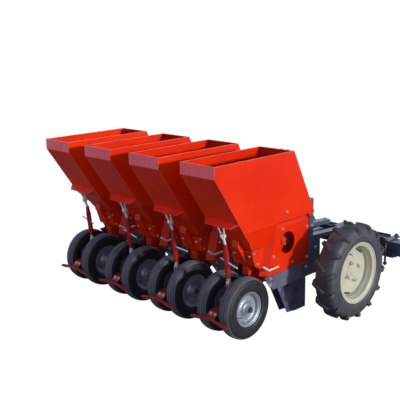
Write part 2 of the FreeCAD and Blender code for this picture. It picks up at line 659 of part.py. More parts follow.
def wheel_guard(name, s):
    """Closed chain guard from the wheel's axle up to the cross shaft."""
    b = body("wheel_chain_guard_" + name, 0.0)
    x = 1006
    y1, z1, y2, z2 = 750.0, 340.0, 950.0, 495.0
    L = math.hypot(y2 - y1, z2 - z1)
    nx, nz = (z1 - z2) / L, (y2 - y1) / L
    r1, r2 = 66.0, 40.0
    base = math.atan2(nz, nx)
    pts = [(y1 + r1 * math.cos(base + math.radians(t)), z1 + r1 * math.sin(base + math.radians(t))) for t in range(0, 181, 20)]
    pts += [(y2 + r2 * math.cos(base + math.radians(t)), z2 + r2 * math.sin(base + math.radians(t))) for t in range(180, 361, 20)]
    pad(b, "YZ", x if s > 0 else -x - 36, 36, pts)
    cut(b, "YZ", 1200 if s > 0 else -800, 400, None, [
        (d["drive_y"], d["drive_z"], d["drive_axle_dia"] + d["run_gap"] * 2)])
    cut(b, "YZ", 1034 if s > 0 else -1000, 34, None, [
        (d["shaft_y"], d["shaft_z"], d["shaft_dia"] + d["run_gap"] * 2)])
    return b


group("wheel_carriers", [carrier("left", -1), carrier("right", 1)])
group("wheel_chain_guards", [wheel_guard("left", -1), wheel_guard("right", 1)])


def unit_guard(k):
    """Closed chain guard from the cross shaft to the elevator housing."""
    b = body("unit_chain_guard_%d" % k, ux(k))
    pad(b, "YZ", -21, 42, [(617, 460), (950, 457), (976, 467), (988, 495), (976, 523), (950, 533), (617, 530)])
    cut(b, "YZ", 30, 60, None, [(d["shaft_y"], d["shaft_z"], d["shaft_dia"] + d["run_gap"] * 2)])
    return b


group("unit_chain_guards", [unit_guard(k) for k in UNITS])
shaft = xbar("cross_shaft", -1028, 2056, d["shaft_y"], d["shaft_z"], 25)
shaft.Label = "cross_shaft"
shaft.setExpression("Radius", (d["shaft_dia"] / 2).s)
node(shaft)


# ------------------------------------------------------------ toolbar and hitch
def toolbar():
    outer = doc.addObject("Part::Box", "toolbar_outer")
    inner = doc.addObject("Part::Box", "toolbar_inner")
    for o, less in ((outer, 0.0), (inner, 1.0)):
        side = d["tool"] - d["tool_wall"] * 2 * less
        o.setExpression("Length", (d["bar_half"] * 2 + 20 * less).s)
        o.setExpression("Width", side.s)
        o.setExpression("Height", side.s)
        place(o, -d["bar_half"] - 10 * less, d["tool_y"] - side / 2, d["tool_z"] - side / 2)
    return node(minus("toolbar", outer, inner))


toolbar()


def saddle(name, x0, x1):
    """Channel on the toolbar that the unit beams are bolted down to."""
    b = body(name, 0.0)
    z = d["tool_z"] + d["tool"] / 2
    y0, y1 = d["tool_y"] - 50, d["tool_y"] + 50
    pad(b, "YZ", x0, x1 - x0, [
        (y0, z + 0.3), (y1, z + 0.3), (y1, z + 22), (y1 - 8, z + 22), (y1 - 8, z + 8), (y0 + 8, z + 8), (y0 + 8, z + 22), (y0, z + 22)])
    return b


group("beam_saddles", [saddle("saddle_1", -1165, -590), saddle("saddle_2", -410, -90),
                       saddle("saddle_3", 90, 410), saddle("saddle_4", 590, 1165)])


def clamp(name, x, top, wide):
    """Plate under the toolbar with an upturned rear lip, and a strap on top."""
    low = body(name + "_plate", x)
    pad(low, "YZ", -wide, wide * 2, [(1136, 358), (1284, 358), (1284, 371.7), (1149.6, 371.7), (1149.6, 402), (1136, 402)])
    strap = body(name + "_strap", x)
    pad(strap, "YZ", -22, 44, [(1122, top), (1290, top), (1290, top + 10), (1122, top + 10)])
    for b, z in ((low, 420), (strap, top + 30)):
        cut(b, "XY", z, 80, None, [(0, 1128 if b is strap else 1142, 16.6), (0, 1274, 16.6)] if b is strap else [(0, 1274, 16.6)])
    return [low, strap]


CLAMPS = ((-1195, 472.3, 55), (-750, 494.5, 45), (-250, 494.5, 45), (250, 494.5, 45), (750, 494.5, 45), (1195, 472.3, 55))


def clamp_bolt(name, x, top):
    """Stud with nuts through strap and plate, in front of the toolbar."""
    b = body(name, x)
    pad(b, "XY", 318, top + 28 - 318, None, [(0, 1274, 16)])
    pad(b, "XY", 343.5, 14, None, [(0, 1274, 28)])
    pad(b, "XY", top + 10.5, 13, None, [(0, 1274, 28)])
    return b


def hook_bolt(name, x, top):
    """Stud behind the toolbar, through strap and lip."""
    b = body(name, x)
    pad(b, "XY", 296, top + 26 - 296, None, [(0, 1128, 16)])
    pad(b, "XY", top + 10.5, 13, None, [(0, 1128, 28)])
    pad(b, "XY", 300, 16, None, [(0, 1128, 30)])
    return b


group("toolbar_clamps", [p for i, (x, t, w) in enumerate(CLAMPS) for p in clamp("clamp_%d" % i, x, t, w)])
group("clamp_bolts", [f("%s_%d" % (f.__name__, i), x, t) for i, (x, t, w) in enumerate(CLAMPS) for f in (clamp_bolt, hook_bolt)])


def headstock():
    b = body("headstock", 0.0)
    sp = d["lower_span"] / 2
    ly, lz = d["lower_y"], d["lower_z"]
    tz = d["lower_z"] + d["mast_high"]
    g, e = d["top_gap"] / 2, d["ear_t"]
    pad(b, "YZ", -sp, sp * 2, [(1250.3, 374), (1264, 374), (1264, 470), (1250.3, 470)])
    for s in (-1, 1):
        # lower hitch cheek and its pin
        pad(b, "YZ", sp - 16 if s > 0 else -sp, 16, [
            (1252, 374), (1252, 470), (1330, 470), (ly + 25, lz + 45), (d["front_y"], lz + 18), (d["front_y"], lz - 18),
            (ly + 25, lz - 42), (ly - 30, lz - 42)])
        pad(b, "YZ", sp - 20 if s > 0 else -sp - 72, 92, None, [(ly, lz, d["lower_dia"])])
        # mast cheek
        pad(b, "YZ", g if s > 0 else -g - e, e, [
            (1252, 374), (1252, 470), (1390, 952), (1412, 974), (1462, 974), (1482, 952), (1482, 916), (1400, 700), (1316, 374)])
        # slanted stay from the lower cheek to the mast
        pad(b, "XZ", -1345, 14, [
            (s * (sp - 60), 468), (s * sp, 468), (s * (g + e), 800), (s * (g + 2), 800), (s * (g + 2), 745)])
    # web between the mast cheeks
    pad(b, "YZ", -g, g * 2, [(1252, 374), (1252, 470), (1320, 700), (1332, 697), (1266, 466), (1266, 374)])
    cut(b, "YZ", 60, 120, None, [(d["lower_y"] - 20, tz, d["top_dia"])])
    # link-pin holes across the lower pins
    for s in (-1, 1):
        cut(b, "XY", lz + 40, 80, None, [(s * (sp + 58), ly, 11)])
    return node(b)


headstock()

# ---------------------------------------------------------------------- finish
doc.recompute()
bad = []
for o in doc.Objects:
    if any(x in o.State for x in ("Invalid", "Error")):
        bad.append("%s %s" % (o.Label, o.State))
for o in NODES:
    if o.Shape.isNull() or not o.Shape.isValid():
        bad.append(o.Label + " has no valid shape")
if bad:
    raise RuntimeError("; ".join(bad))
for o in NODES:
    o.Shape.exportStep("parts/%s.step" % o.Label)
    print("%-24s %3d solids %10.1f cm3" % (o.Label, len(o.Shape.Solids), o.Shape.Volume / 1000.0))
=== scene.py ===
import json
import math
import random

import bmesh
import bpy
from mathutils import Matrix, Vector


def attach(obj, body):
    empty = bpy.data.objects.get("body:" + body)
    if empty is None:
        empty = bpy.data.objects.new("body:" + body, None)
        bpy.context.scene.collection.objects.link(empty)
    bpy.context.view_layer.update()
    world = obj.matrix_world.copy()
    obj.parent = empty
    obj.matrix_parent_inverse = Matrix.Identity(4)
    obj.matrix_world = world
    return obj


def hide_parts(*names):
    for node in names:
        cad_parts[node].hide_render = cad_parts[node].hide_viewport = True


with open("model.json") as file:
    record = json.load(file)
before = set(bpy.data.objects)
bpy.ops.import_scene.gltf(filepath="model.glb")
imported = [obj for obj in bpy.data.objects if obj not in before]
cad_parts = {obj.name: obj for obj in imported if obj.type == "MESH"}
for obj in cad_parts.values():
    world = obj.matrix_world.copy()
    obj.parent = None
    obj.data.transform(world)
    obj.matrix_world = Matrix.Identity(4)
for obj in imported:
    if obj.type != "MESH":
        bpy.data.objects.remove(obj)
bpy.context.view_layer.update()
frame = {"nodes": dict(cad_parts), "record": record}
BODY = {}
for _b, _nodes in frame["record"]["behaviour"]["bodies"].items():
    for _n in _nodes:
        BODY[_n] = _b

MM = 0.001
Y0 = 600.0  # the pieces are drawn about the press wheel axle, as in the CAD
UNITS = (1, 2, 3, 4)


def P(x, y, z):
    """Millimetres about the axle line to metres in the row frame."""
    return Vector((x * MM, (y - Y0) * MM, z * MM))


def ux(k):
    return 500.0 * (k - 2.5)


# ------------------------------------------------------------------ materials
def nodes_of(name):
    m = bpy.data.materials.new(name)
    m.use_nodes = True
    t = m.node_tree
    t.nodes.clear()
    out = t.nodes.new("ShaderNodeOutputMaterial")
    bs = t.nodes.new("ShaderNodeBsdfPrincipled")
    t.links.new(bs.outputs[0], out.inputs[0])
    return m, t, bs


class Net:
    def __init__(self, tree, bsdf):
        self.t, self.b = tree, bsdf
        tc = tree.nodes.new("ShaderNodeTexCoord")
        self.co = tc.outputs["Object"]
        self.height = None

    def link(self, a, b):
        self.t.links.new(a, b)

    def noise(self, scale, detail=3.0, rough=0.55, stretch=None, distort=0.0):
        n = self.t.nodes.new("ShaderNodeTexNoise")
        n.inputs["Scale"].default_value = scale
        n.inputs["Detail"].default_value = detail
        n.inputs["Roughness"].default_value = rough
        n.inputs["Distortion"].default_value = distort
        src = self.co
        if stretch:
            mp = self.t.nodes.new("ShaderNodeMapping")
            mp.inputs["Scale"].default_value = stretch
            self.link(src, mp.inputs["Vector"])
            src = mp.outputs[0]
        self.link(src, n.inputs["Vector"])
        return n.outputs["Fac"]

    def voronoi(self, scale, feature="F1"):
        n = self.t.nodes.new("ShaderNodeTexVoronoi")
        n.feature = feature
        n.inputs["Scale"].default_value = scale
        self.link(self.co, n.inputs["Vector"])
        return n.outputs["Distance"]

    def ramp(self, src, lo, hi, a=0.0, b=1.0):
        n = self.t.nodes.new("ShaderNodeMapRange")
        n.clamp = True
        for i, v in ((1, lo), (2, hi), (3, a), (4, b)):
            n.inputs[i].default_value = v
        self.link(src, n.inputs[0])
        return n.outputs[0]

    def math(self, op, a, b=None, clamp=False):
        n = self.t.nodes.new("ShaderNodeMath")
        n.operation = op
        n.use_clamp = clamp
        for i, v in enumerate((a, b)):
            if v is None:
                continue
            if isinstance(v, (int, float)):
                n.inputs[i].default_value = v
            else:
                self.link(v, n.inputs[i])
        return n.outputs[0]

    def mix(self, fac, a, b):
        n = self.t.nodes.new("ShaderNodeMix")
        n.data_type = "RGBA"
        if isinstance(fac, (int, float)):
            n.inputs[0].default_value = fac
        else:
            self.link(fac, n.inputs[0])
        for i, v in ((6, a), (7, b)):
            if isinstance(v, (tuple, list)):
                n.inputs[i].default_value = (*v, 1.0)
            else:
                self.link(v, n.inputs[i])
        return n.outputs[2]

    def sep(self, src=None):
        n = self.t.nodes.new("ShaderNodeSeparateXYZ")
        self.link(src or self.co, n.inputs[0])
        return n.outputs

    def normal_z(self):
        g = self.t.nodes.new("ShaderNodeNewGeometry")
        return self.sep(g.outputs["Normal"])[2]

    def bump(self, src, distance, strength=1.0):
        n = self.t.nodes.new("ShaderNodeBump")
        n.inputs["Strength"].default_value = strength
        n.inputs["Distance"].default_value = distance
        self.link(src, n.inputs["Height"])
        if self.height is not None:
            self.link(self.height, n.inputs["Normal"])
        self.height = n.outputs[0]
        self.link(self.height, self.b.inputs["Normal"])

    def color(self, src):
        self.link(src, self.b.inputs["Base Color"])

    def rough(self, src):
        self.link(src, self.b.inputs["Roughness"])


DUST = (0.30, 0.235, 0.17)


def painted(name, base, dark, light, rough=0.32, coat=0.25, peel=0.00010, wave=0.0016, dust=0.16,
            low_dust=0.35, chips=0.0, chip_col=(0.10, 0.09, 0.085), edge=False, dust_col=None, spec=0.5):
    """Gloss enamel on sheet and plate: colour drift, orange peel, slow sheet waves, dust, chips."""
    m, t, b = nodes_of(name)
    n = Net(t, b)
    b.inputs["Coat Weight"].default_value = coat
    b.inputs["Coat Roughness"].default_value = 0.12
    b.inputs["Specular IOR Level"].default_value = spec
    drift = n.noise(2.3, 4.0, 0.6)
    col = n.mix(n.ramp(drift, 0.36, 0.64), dark, base)
    fine = n.noise(38.0, 5.0, 0.65)
    col = n.mix(n.ramp(fine, 0.56, 0.78, 0.0, 0.16), col, light)
    # runs of rain-washed dust, drawn out downwards
    streak = n.noise(16.0, 3.0, 0.5, stretch=(1.0, 1.0, 0.12))
    up = n.ramp(n.normal_z(), 0.35, 0.95)
    lowz = n.ramp(n.sep()[2], 0.62, 0.20)
    patch = n.ramp(n.noise(7.0, 5.0, 0.7), 0.42, 0.72)
    d1 = n.math("MULTIPLY", n.math("MULTIPLY", up, patch), dust * 1.6)
    d2 = n.math("MULTIPLY", n.math("MULTIPLY", lowz, patch), low_dust)
    d3 = n.math("MULTIPLY", n.ramp(streak, 0.60, 0.80), dust * 0.35)
    df = n.math("ADD", n.math("ADD", d1, d2), d3, clamp=True)
    col = n.mix(df, col, dust_col or DUST)
    rbase = n.ramp(n.noise(11.0, 4.0, 0.6), 0.3, 0.7, rough - 0.05, rough + 0.08)
    rr = n.math("ADD", rbase, n.math("MULTIPLY", df, 0.45), clamp=True)
    if chips > 0:
        c = n.noise(70.0 if edge else 24.0, 6.0, 0.7, distort=0.4)
        cf = n.ramp(c, 0.70 - chips, 0.72 - chips)
        col = n.mix(cf, col, chip_col)
        rr = n.math("ADD", rr, n.math("MULTIPLY", cf, 0.25), clamp=True)
        n.bump(cf, 0.00006, -1.0 * 1.0)
    n.color(col)
    n.rough(rr)
    n.bump(n.noise(420.0, 2.0, 0.5), peel)
    n.bump(n.noise(3.2, 2.0, 0.4), wave, 0.5)
    return m


def metal(name, base, dark, rough, metallic=0.9, spangle=0.0, scratches=0.4, stain=(0.16, 0.12, 0.09), stain_amount=0.25,
          dust=0.1):
    """Plated or bare steel: cloudy tone, fine scratches, stains, and spangle on hot-dip zinc."""
    m, t, b = nodes_of(name)
    n = Net(t, b)
    b.inputs["Metallic"].default_value = metallic
    cloud = n.ramp(n.noise(14.0, 5.0, 0.65), 0.32, 0.68)
    col = n.mix(cloud, dark, base)
    if spangle > 0:
        v = n.ramp(n.voronoi(95.0), 0.0, 0.7)
        col = n.mix(n.math("MULTIPLY", v, spangle), col, dark)
        v2 = n.ramp(n.voronoi(210.0), 0.1, 0.9)
        col = n.mix(n.math("MULTIPLY", v2, spangle * 0.5), col, base)
    st = n.ramp(n.noise(31.0, 6.0, 0.72), 0.60, 0.76, 0.0, stain_amount)
    col = n.mix(st, col, stain)
    up = n.ramp(n.normal_z(), 0.3, 0.95)
    df = n.math("MULTIPLY", n.math("MULTIPLY", up, n.ramp(n.noise(9.0, 4.0, 0.7), 0.4, 0.7)), dust, clamp=True)
    col = n.mix(df, col, DUST)
    n.color(col)
    sc = n.noise(160.0, 4.0, 0.6, stretch=(1.0, 0.12, 0.12))
    r = n.ramp(sc, 0.3, 0.7, rough - 0.08 * scratches, rough + 0.14 * scratches)
    n.rough(n.math("ADD", r, n.math("MULTIPLY", n.math("ADD", st, df), 0.5), clamp=True))
    n.bump(sc, 0.00004 * scratches + 0.00001)
    n.bump(n.noise(60.0, 3.0, 0.5), 0.00012)
    return m


def rubber(name, base, dark, dusty, rough=0.62, dust=0.5, radial=0.0, sheen=0.0, fine=1.0, spec=0.5):
    """Tyre rubber: scuffed, with specks and smears of dust, and fine grain."""
    m, t, b = nodes_of(name)
    n = Net(t, b)
    b.inputs["Specular IOR Level"].default_value = spec
    if sheen > 0:
        b.inputs["Sheen Weight"].default_value = sheen
        b.inputs["Sheen Roughness"].default_value = 0.5
    cl = n.ramp(n.noise(9.0, 6.0, 0.68), 0.35, 0.66)
    col = n.mix(cl, dark, base)
    grit = n.ramp(n.noise(130.0, 4.0, 0.7), 0.50, 0.80)
    smear = n.ramp(n.noise(5.0, 5.0, 0.6, distort=0.8), 0.38, 0.70)
    df = n.math("MULTIPLY", n.math("ADD", n.math("MULTIPLY", grit, 0.55), n.math("MULTIPLY", smear, 0.45)), dust, clamp=True)
    col = n.mix(df, col, dusty)
    n.color(col)
    n.rough(n.ramp(n.noise(26.0, 4.0, 0.6), 0.3, 0.7, rough - 0.08, rough + 0.14))
    n.bump(n.noise(520.0, 3.0, 0.6), 0.00018 * fine)
    n.bump(n.noise(34.0, 5.0, 0.6), 0.00060 * fine)
    return m


RED = painted("red_paint", (0.72, 0.026, 0.0010), (0.63, 0.017, 0.0008), (0.78, 0.038, 0.002), rough=0.33, coat=0.0, dust=0.03,
              low_dust=0.08, spec=0.16)
# Lighter copy of the red for the depth brackets: painted light standing in for the ground bounce on their shaded,
# down-facing lip
BRACKET_RED_PAINTED_BOUNCE = painted("bracket_red_painted_bounce_light", (0.92, 0.026, 0.008), (0.85, 0.020, 0.006), (0.95, 0.04, 0.012), rough=0.3, coat=0.1, dust=0.04,
                  low_dust=0.08, spec=0.4)
# Darker copy of the red, used on the depth tubes and scrapers: painted shade for the shadow the depth tubes stand in
DARK_RED_PAINTED_SHADE = painted("dark_red_painted_shade", (0.36, 0.008, 0.008), (0.28, 0.006, 0.006), (0.44, 0.015, 0.014), rough=0.26, coat=0.30,
                  dust=0.05, low_dust=0.10, spec=0.4)
# Lighter pinkish red for the bevel faces: thin paint on worn edges, and a painted highlight of the sky along rims and
# edges
RED_EDGE_WEAR_AND_HIGHLIGHT = painted("red_edge_wear_and_painted_highlight", (0.84, 0.13, 0.09), (0.76, 0.06, 0.04), (0.88, 0.24, 0.19), rough=0.36, coat=0.12,
                   dust=0.05, edge=True)
# Pinker, lighter copy of the red: painted reflection of the bright sky on the hopper's rear-facing faces up by the rim
RED_PAINTED_SKY_REFLECTION = painted("rim_red_painted_reflection", (0.96, 0.125, 0.150), (0.90, 0.105, 0.125), (0.98, 0.15, 0.18), rough=0.26, coat=0.25, dust=0.05,
               low_dust=0.16)
GREY_DUST = (0.25, 0.26, 0.29)
NAVY = painted("navy_paint", (0.034, 0.044, 0.090), (0.024, 0.032, 0.072), (0.058, 0.070, 0.125), rough=0.26, coat=0.45,
               dust=0.24, low_dust=0.55, dust_col=GREY_DUST)
NAVY_FRAME = painted("navy_frame", (0.094, 0.096, 0.146), (0.064, 0.068, 0.112), (0.135, 0.138, 0.190), rough=0.34, coat=0.35,
                     dust=0.42, low_dust=0.62, dust_col=GREY_DUST)
NAVY_SHOE = painted("navy_shoe", (0.052, 0.056, 0.118), (0.037, 0.041, 0.092), (0.086, 0.092, 0.156), rough=0.34, coat=0.35,
                    dust=0.26, low_dust=0.50, dust_col=GREY_DUST)
NAVY_EDGE = painted("navy_edge", (0.12, 0.14, 0.21), (0.06, 0.075, 0.13), (0.22, 0.25, 0.34), rough=0.36, coat=0.2,
                    chips=0.05, chip_col=(0.30, 0.29, 0.28), edge=True)
CREAM = painted("cream_paint", (0.55, 0.53, 0.40), (0.40, 0.40, 0.34), (0.64, 0.62, 0.50), rough=0.34, coat=0.2,
                dust=0.10, low_dust=0.40, dust_col=(0.34, 0.31, 0.24), chips=0.01, chip_col=(0.20, 0.15, 0.10), wave=0.0008)
CREAM_EDGE = painted("cream_edge", (0.70, 0.68, 0.52), (0.56, 0.54, 0.38), (0.80, 0.78, 0.66), rough=0.4, coat=0.1,
                     chips=0.06, chip_col=(0.25, 0.18, 0.12), edge=True)
ZINC = metal("zinc_plate", (0.78, 0.77, 0.74), (0.52, 0.52, 0.52), 0.34, metallic=0.88)
# Lighter, more diffuse copy of the zinc for latch handles, tommy bars and depth screws: painted reflection of sky and
# ground that brightens them where the lamps leave them in shade
ZINC_PAINTED_REFLECTION = metal("zinc_painted_reflection", (0.92, 0.90, 0.88), (0.74, 0.72, 0.71), 0.40, metallic=0.45)
GALV = metal("galvanised", (0.44, 0.47, 0.55), (0.29, 0.31, 0.37), 0.47, metallic=0.66, spangle=0.45, scratches=0.3)
STEEL = metal("bare_steel", (0.46, 0.45, 0.44), (0.26, 0.25, 0.25), 0.36, metallic=0.92, stain=(0.20, 0.09, 0.04), stain_amount=0.4)
DARKSTEEL = metal("dark_steel", (0.16, 0.15, 0.15), (0.07, 0.065, 0.065), 0.45, metallic=0.8, stain=(0.13, 0.06, 0.03),
                  stain_amount=0.5)
# Tread rubber much lighter than the sidewall: dust, and a painted reflection of the bright sky on the up-facing tread;
# the rim valves use it too
PRESS_RUBBER_DUST_AND_REFLECTION = rubber("press_rubber", (0.106, 0.098, 0.122), (0.072, 0.067, 0.086), (0.170, 0.160, 0.186), rough=0.60, dust=0.40,
                      spec=0.5, sheen=0.15)
PRESS_SIDE = rubber("press_sidewall", (0.010, 0.010, 0.015), (0.006, 0.006, 0.010), (0.028, 0.028, 0.038), rough=0.48, dust=0.34,
                    spec=0.42, sheen=0.05)
DRIVE_RUBBER = rubber("drive_rubber", (0.043, 0.037, 0.040), (0.027, 0.023, 0.026), (0.110, 0.094, 0.094), rough=0.62, dust=0.45)
DRIVE_SIDE = rubber("drive_sidewall", (0.048, 0.050, 0.064), (0.029, 0.031, 0.041), (0.114, 0.114, 0.132), rough=0.52, dust=0.40)


# ------------------------------------------------------------- mesh machinery
def sharpen(me, angle):
    """Smooth shading, with the edges above angle kept sharp."""
    bm = bmesh.new()
    bm.from_mesh(me)
    bmesh.ops.recalc_face_normals(bm, faces=bm.faces)
    lim = math.radians(angle)
    for e in bm.edges:
        e.smooth = not (len(e.link_faces) != 2 or e.calc_face_angle(math.pi) > lim)
    for f in bm.faces:
        f.smooth = True
    bm.to_mesh(me)
    bm.free()


class Build:
    """Collects many small shapes into one mesh, in millimetres about the axle line."""

    def __init__(self):
        self.v, self.f, self.m = [], [], []

    def add(self, verts, faces, mat=0):
        o = len(self.v)
        self.v += [Vector(v) for v in verts]
        self.f += [tuple(i + o for i in f) for f in faces]
        self.m += [mat] * len(faces)

    def rings(self, loops, mat=0, closed_loops=True, cap0=True, cap1=True, loop_back=False):
        """Quads between successive rings of equal length."""
        n = len(loops[0])
        verts = [p for r in loops for p in r]
        faces = []
        last = len(loops) if loop_back else len(loops) - 1
        for i in range(last):
            a, b = i * n, ((i + 1) % len(loops)) * n
            for j in range(n if closed_loops else n - 1):
                k = (j + 1) % n
                faces.append((a + j, a + k, b + k, b + j))
        if not loop_back and closed_loops:
            if cap0:
                faces.append(tuple(range(n))[::-1])
            if cap1:
                faces.append(tuple((len(loops) - 1) * n + j for j in range(n)))
        self.add(verts, faces, mat)

    def lathe(self, prof, centre, axis=(1, 0, 0), seg=48, mat=0, closed=True, phase=0.0):
        """prof is (along, radius) points about the axis through centre."""
        ax = Vector(axis).normalized()
        u = ax.orthogonal().normalized()
        w = ax.cross(u)
        c = Vector(centre)
        loops = []
        for i in range(seg):
            a = 2 * math.pi * (i + phase) / seg
            d = u * math.cos(a) + w * math.sin(a)
            loops.append([c + ax * x + d * r for x, r in prof])
        self.rings(loops, mat, closed_loops=closed, loop_back=True)

    def solid_lathe(self, prof, centre, axis=(1, 0, 0), seg=32, mat=0, phase=0.0):
        """prof is an open line of (along, radius) that starts and ends near the axis."""
        ax = Vector(axis).normalized()
        u = ax.orthogonal().normalized()
        w = ax.cross(u)
        c = Vector(centre)
        loops = []
        for x, r in prof:
            loops.append([c + ax * x + (u * math.cos(2 * math.pi * (j + phase) / seg) + w * math.sin(2 * math.pi * (j + phase) / seg)) * r
                          for j in range(seg)])
        self.rings(loops, mat)

    def hexagon(self, at, axis, across, high, mat=0, turn=0.0, domed=True):
        """Hexagon head or nut with its chamfer, standing on at along axis."""
        ax = Vector(axis).normalized()
        u = ax.orthogonal().normalized()
        u = Matrix.Rotation(turn, 3, ax) @ u
        w = ax.cross(u)
        R = across / math.sqrt(3.0)
        c = Vector(at)
        n = 36
        loops = []
        ch = across * 0.5 * 0.955
        for h, kind in ((0.0, "hex"), (high * 0.80, "hex"), (high, "round")):
            ring = []
            for j in range(n):
                a = 2 * math.pi * j / n
                b = (a % (math.pi / 3)) - math.pi / 6
                rh = R * math.cos(math.pi / 6) / math.cos(b)
                r = rh if kind == "hex" else ch
                z = h
                if kind == "hex" and h > 0:
                    # the chamfer bites deeper at the corners
                    z = h - (rh - R * math.cos(math.pi / 6)) * 0.45
                ring.append(c + ax * z + (u * math.cos(a) + w * math.sin(a)) * r)
            loops.append(ring)
        if domed:
            loops.append([c + ax * (high * 1.02) + (u * math.cos(2 * math.pi * j / n) + w * math.sin(2 * math.pi * j / n)) * ch * 0.7 for j in range(n)])
        self.rings(loops, mat)

    def washer(self, at, axis, r, thick, mat=0):
        c = thick * 0.25
        self.solid_lathe([(0.0, r - c * 0.3), (c, r), (thick - c, r), (thick, r - c), (thick, r * 0.3)], at, axis, 28, mat)

    def bolt(self, at, axis, across=17.0, high=7.5, mat=0, turn=0.0, wash=True, stub=0.0):
        ax = Vector(axis).normalized()
        p = Vector(at) - ax * 0.6
        w = 2.2 if wash else 0.0
        if wash:
            self.washer(p, ax, across * 0.72, w + 0.6, mat)
        self.hexagon(p + ax * (w + 0.6), ax, across, high, mat, turn)
        if stub > 0:
            self.thread(p + ax * (w + 0.6 + high * 0.9), ax, across * 0.29, stub, mat)

    def thread(self, at, axis, r, length, mat=0, pitch=2.0, depth=0.9, seg=20):
        """Threaded end: ridges one pitch apart, with a chamfered tip."""
        prof = [(0.0, r - depth)]
        x = 0.0
        while x + pitch < length - 1.0:
            prof += [(x + pitch * 0.28, r), (x + pitch * 0.62, r), (x + pitch * 0.95, r - depth)]
            x += pitch
        prof += [(length - 1.0, r - depth * 0.4), (length, r - depth * 1.8), (length, r * 0.3)]
        self.solid_lathe(prof, at, axis, seg, mat)

    def tube(self, pts, r, mat=0, seg=12, taper=None):
        """Round bar along a line of points."""
        pts = [Vector(p) for p in pts]
        loops = []
        prev = None
        for i, p in enumerate(pts):
            d = (pts[min(i + 1, len(pts) - 1)] - pts[max(i - 1, 0)]).normalized()
            if prev is None:
                u = d.orthogonal().normalized()
            else:
                u = (prev - d * prev.dot(d)).normalized()
            prev = u
            w = d.cross(u)
            rr = r if taper is None else r * taper[i]
            loops.append([p + (u * math.cos(2 * math.pi * j / seg) + w * math.sin(2 * math.pi * j / seg)) * rr for j in range(seg)])
        self.rings(loops, mat)

    def weld(self, a, b, r=3.2, mat=0, seed=1, toward=None):
        """Fillet bead with ripples from a to b."""
        a, b = Vector(a), Vector(b)
        rnd = random.Random(seed)
        n = max(4, int((b - a).length / 3.2))
        pts, tap = [], []
        d = (b - a).normalized()
        side = d.orthogonal().normalized()
        for i in range(n * 2 + 1):
            t = i / (n * 2)
            j = side * rnd.uniform(-0.25, 0.25) + d.cross(side) * rnd.uniform(-0.25, 0.25)
            pts.append(a.lerp(b, t) + j)
            e = min(1.0, 0.45 + 3.0 * min(t, 1 - t) * (b - a).length / 30.0)
            tap.append(e * ((1.10 if i % 2 else 0.88) + rnd.uniform(-0.05, 0.05)))
        self.tube(pts, r, mat, 8, tap)

    def block(self, lo, hi, mat=0, ch=1.5):
        """Box with all its edges chamfered."""
        lo, hi = Vector(lo), Vector(hi)
        c = min(ch, min(hi - lo) * 0.45)
        loops = []
        for z, i in ((lo.z, c), (lo.z + c, 0), (hi.z - c, 0), (hi.z, c)):
            x0, x1, y0, y1 = lo.x + i, hi.x - i, lo.y + i, hi.y - i
            k = c
            loops.append([Vector(p) for p in ((x0 + k, y0, z), (x1 - k, y0, z), (x1, y0 + k, z), (x1, y1 - k, z),
                                              (x1 - k, y1, z), (x0 + k, y1, z), (x0, y1 - k, z), (x0, y0 + k, z))])
        self.rings(loops, mat)

    def prism(self, pts, off, thick, axis="x", mat=0):
        """Flat plate: outline in the plane across axis, from off by thick."""
        def at(a, b, t):
            return {"x": (t, a, b), "y": (a, t, b), "z": (a, b, t)}[axis]
        self.rings([[Vector(at(a, b, off)) for a, b in pts], [Vector(at(a, b, off + thick)) for a, b in pts]], mat)

    def make(self, name, mats, body="root", angle=32.0, replaces=(), bevel=0.0, edge_index=-1):
        me = bpy.data.meshes.new(name)
        me.from_pydata([P(*v) for v in self.v], [], self.f)
        for m in mats:
            me.materials.append(m)
        me.polygons.foreach_set("material_index", self.m)
        me.update()
        ob = bpy.data.objects.new(name, me)
        bpy.context.scene.collection.objects.link(ob)
        sharpen(me, angle)
        if bevel:
            add_bevel(ob, bevel, angle, edge_index)
        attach(ob, body)
        if replaces:
            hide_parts(*replaces)
        return ob


def add_bevel(ob, width, angle=30.0, edge_index=-1, segments=2):
    md = ob.modifiers.new("edges", "BEVEL")
    md.width = width
    md.segments = segments
    md.limit_method = "ANGLE"
    md.angle_limit = math.radians(angle)
    md.use_clamp_overlap = True
    md.harden_normals = False
    md.miter_outer = "MITER_ARC"
    if edge_index >= 0:
        md.material = edge_index
    wn = ob.modifiers.new("normals", "WEIGHTED_NORMAL")
    wn.keep_sharp = True
    wn.weight = 60


def spread(faces, inside):
    """The faces joined to one another, through edges for which inside is true, as separate lists."""
    left, groups = set(faces), []
    while left:
        seed = left.pop()
        todo, group = [seed], [seed]
        while todo:
            f = todo.pop()
            for e in f.edges:
                if len(e.link_faces) != 2 or not inside(e):
                    continue
                for g in e.link_faces:
                    if g in left:
                        left.remove(g)
                        todo.append(g)
                        group.append(g)
        groups.append(group)
    return groups


def has_hole(group):
    """True if the outline of a patch of faces isn't one simple loop."""
    own = set(group)
    link = {}
    for f in group:
        for e in f.edges:
            if sum(1 for g in e.link_faces if g in own) == 1:
                for v, o in ((e.verts[0], e.verts[1]), (e.verts[1], e.verts[0])):
                    link.setdefault(v, []).append(o)
    if any(len(o) != 2 for o in link.values()):
        return True
    start = next(iter(link))
    seen, at = {start}, link[start][0]
    prev = start
    while at != start:
        seen.add(at)
        nxt = link[at][0] if link[at][0] != prev else link[at][1]
        prev, at = at, nxt
    return len(seen) != len(link)


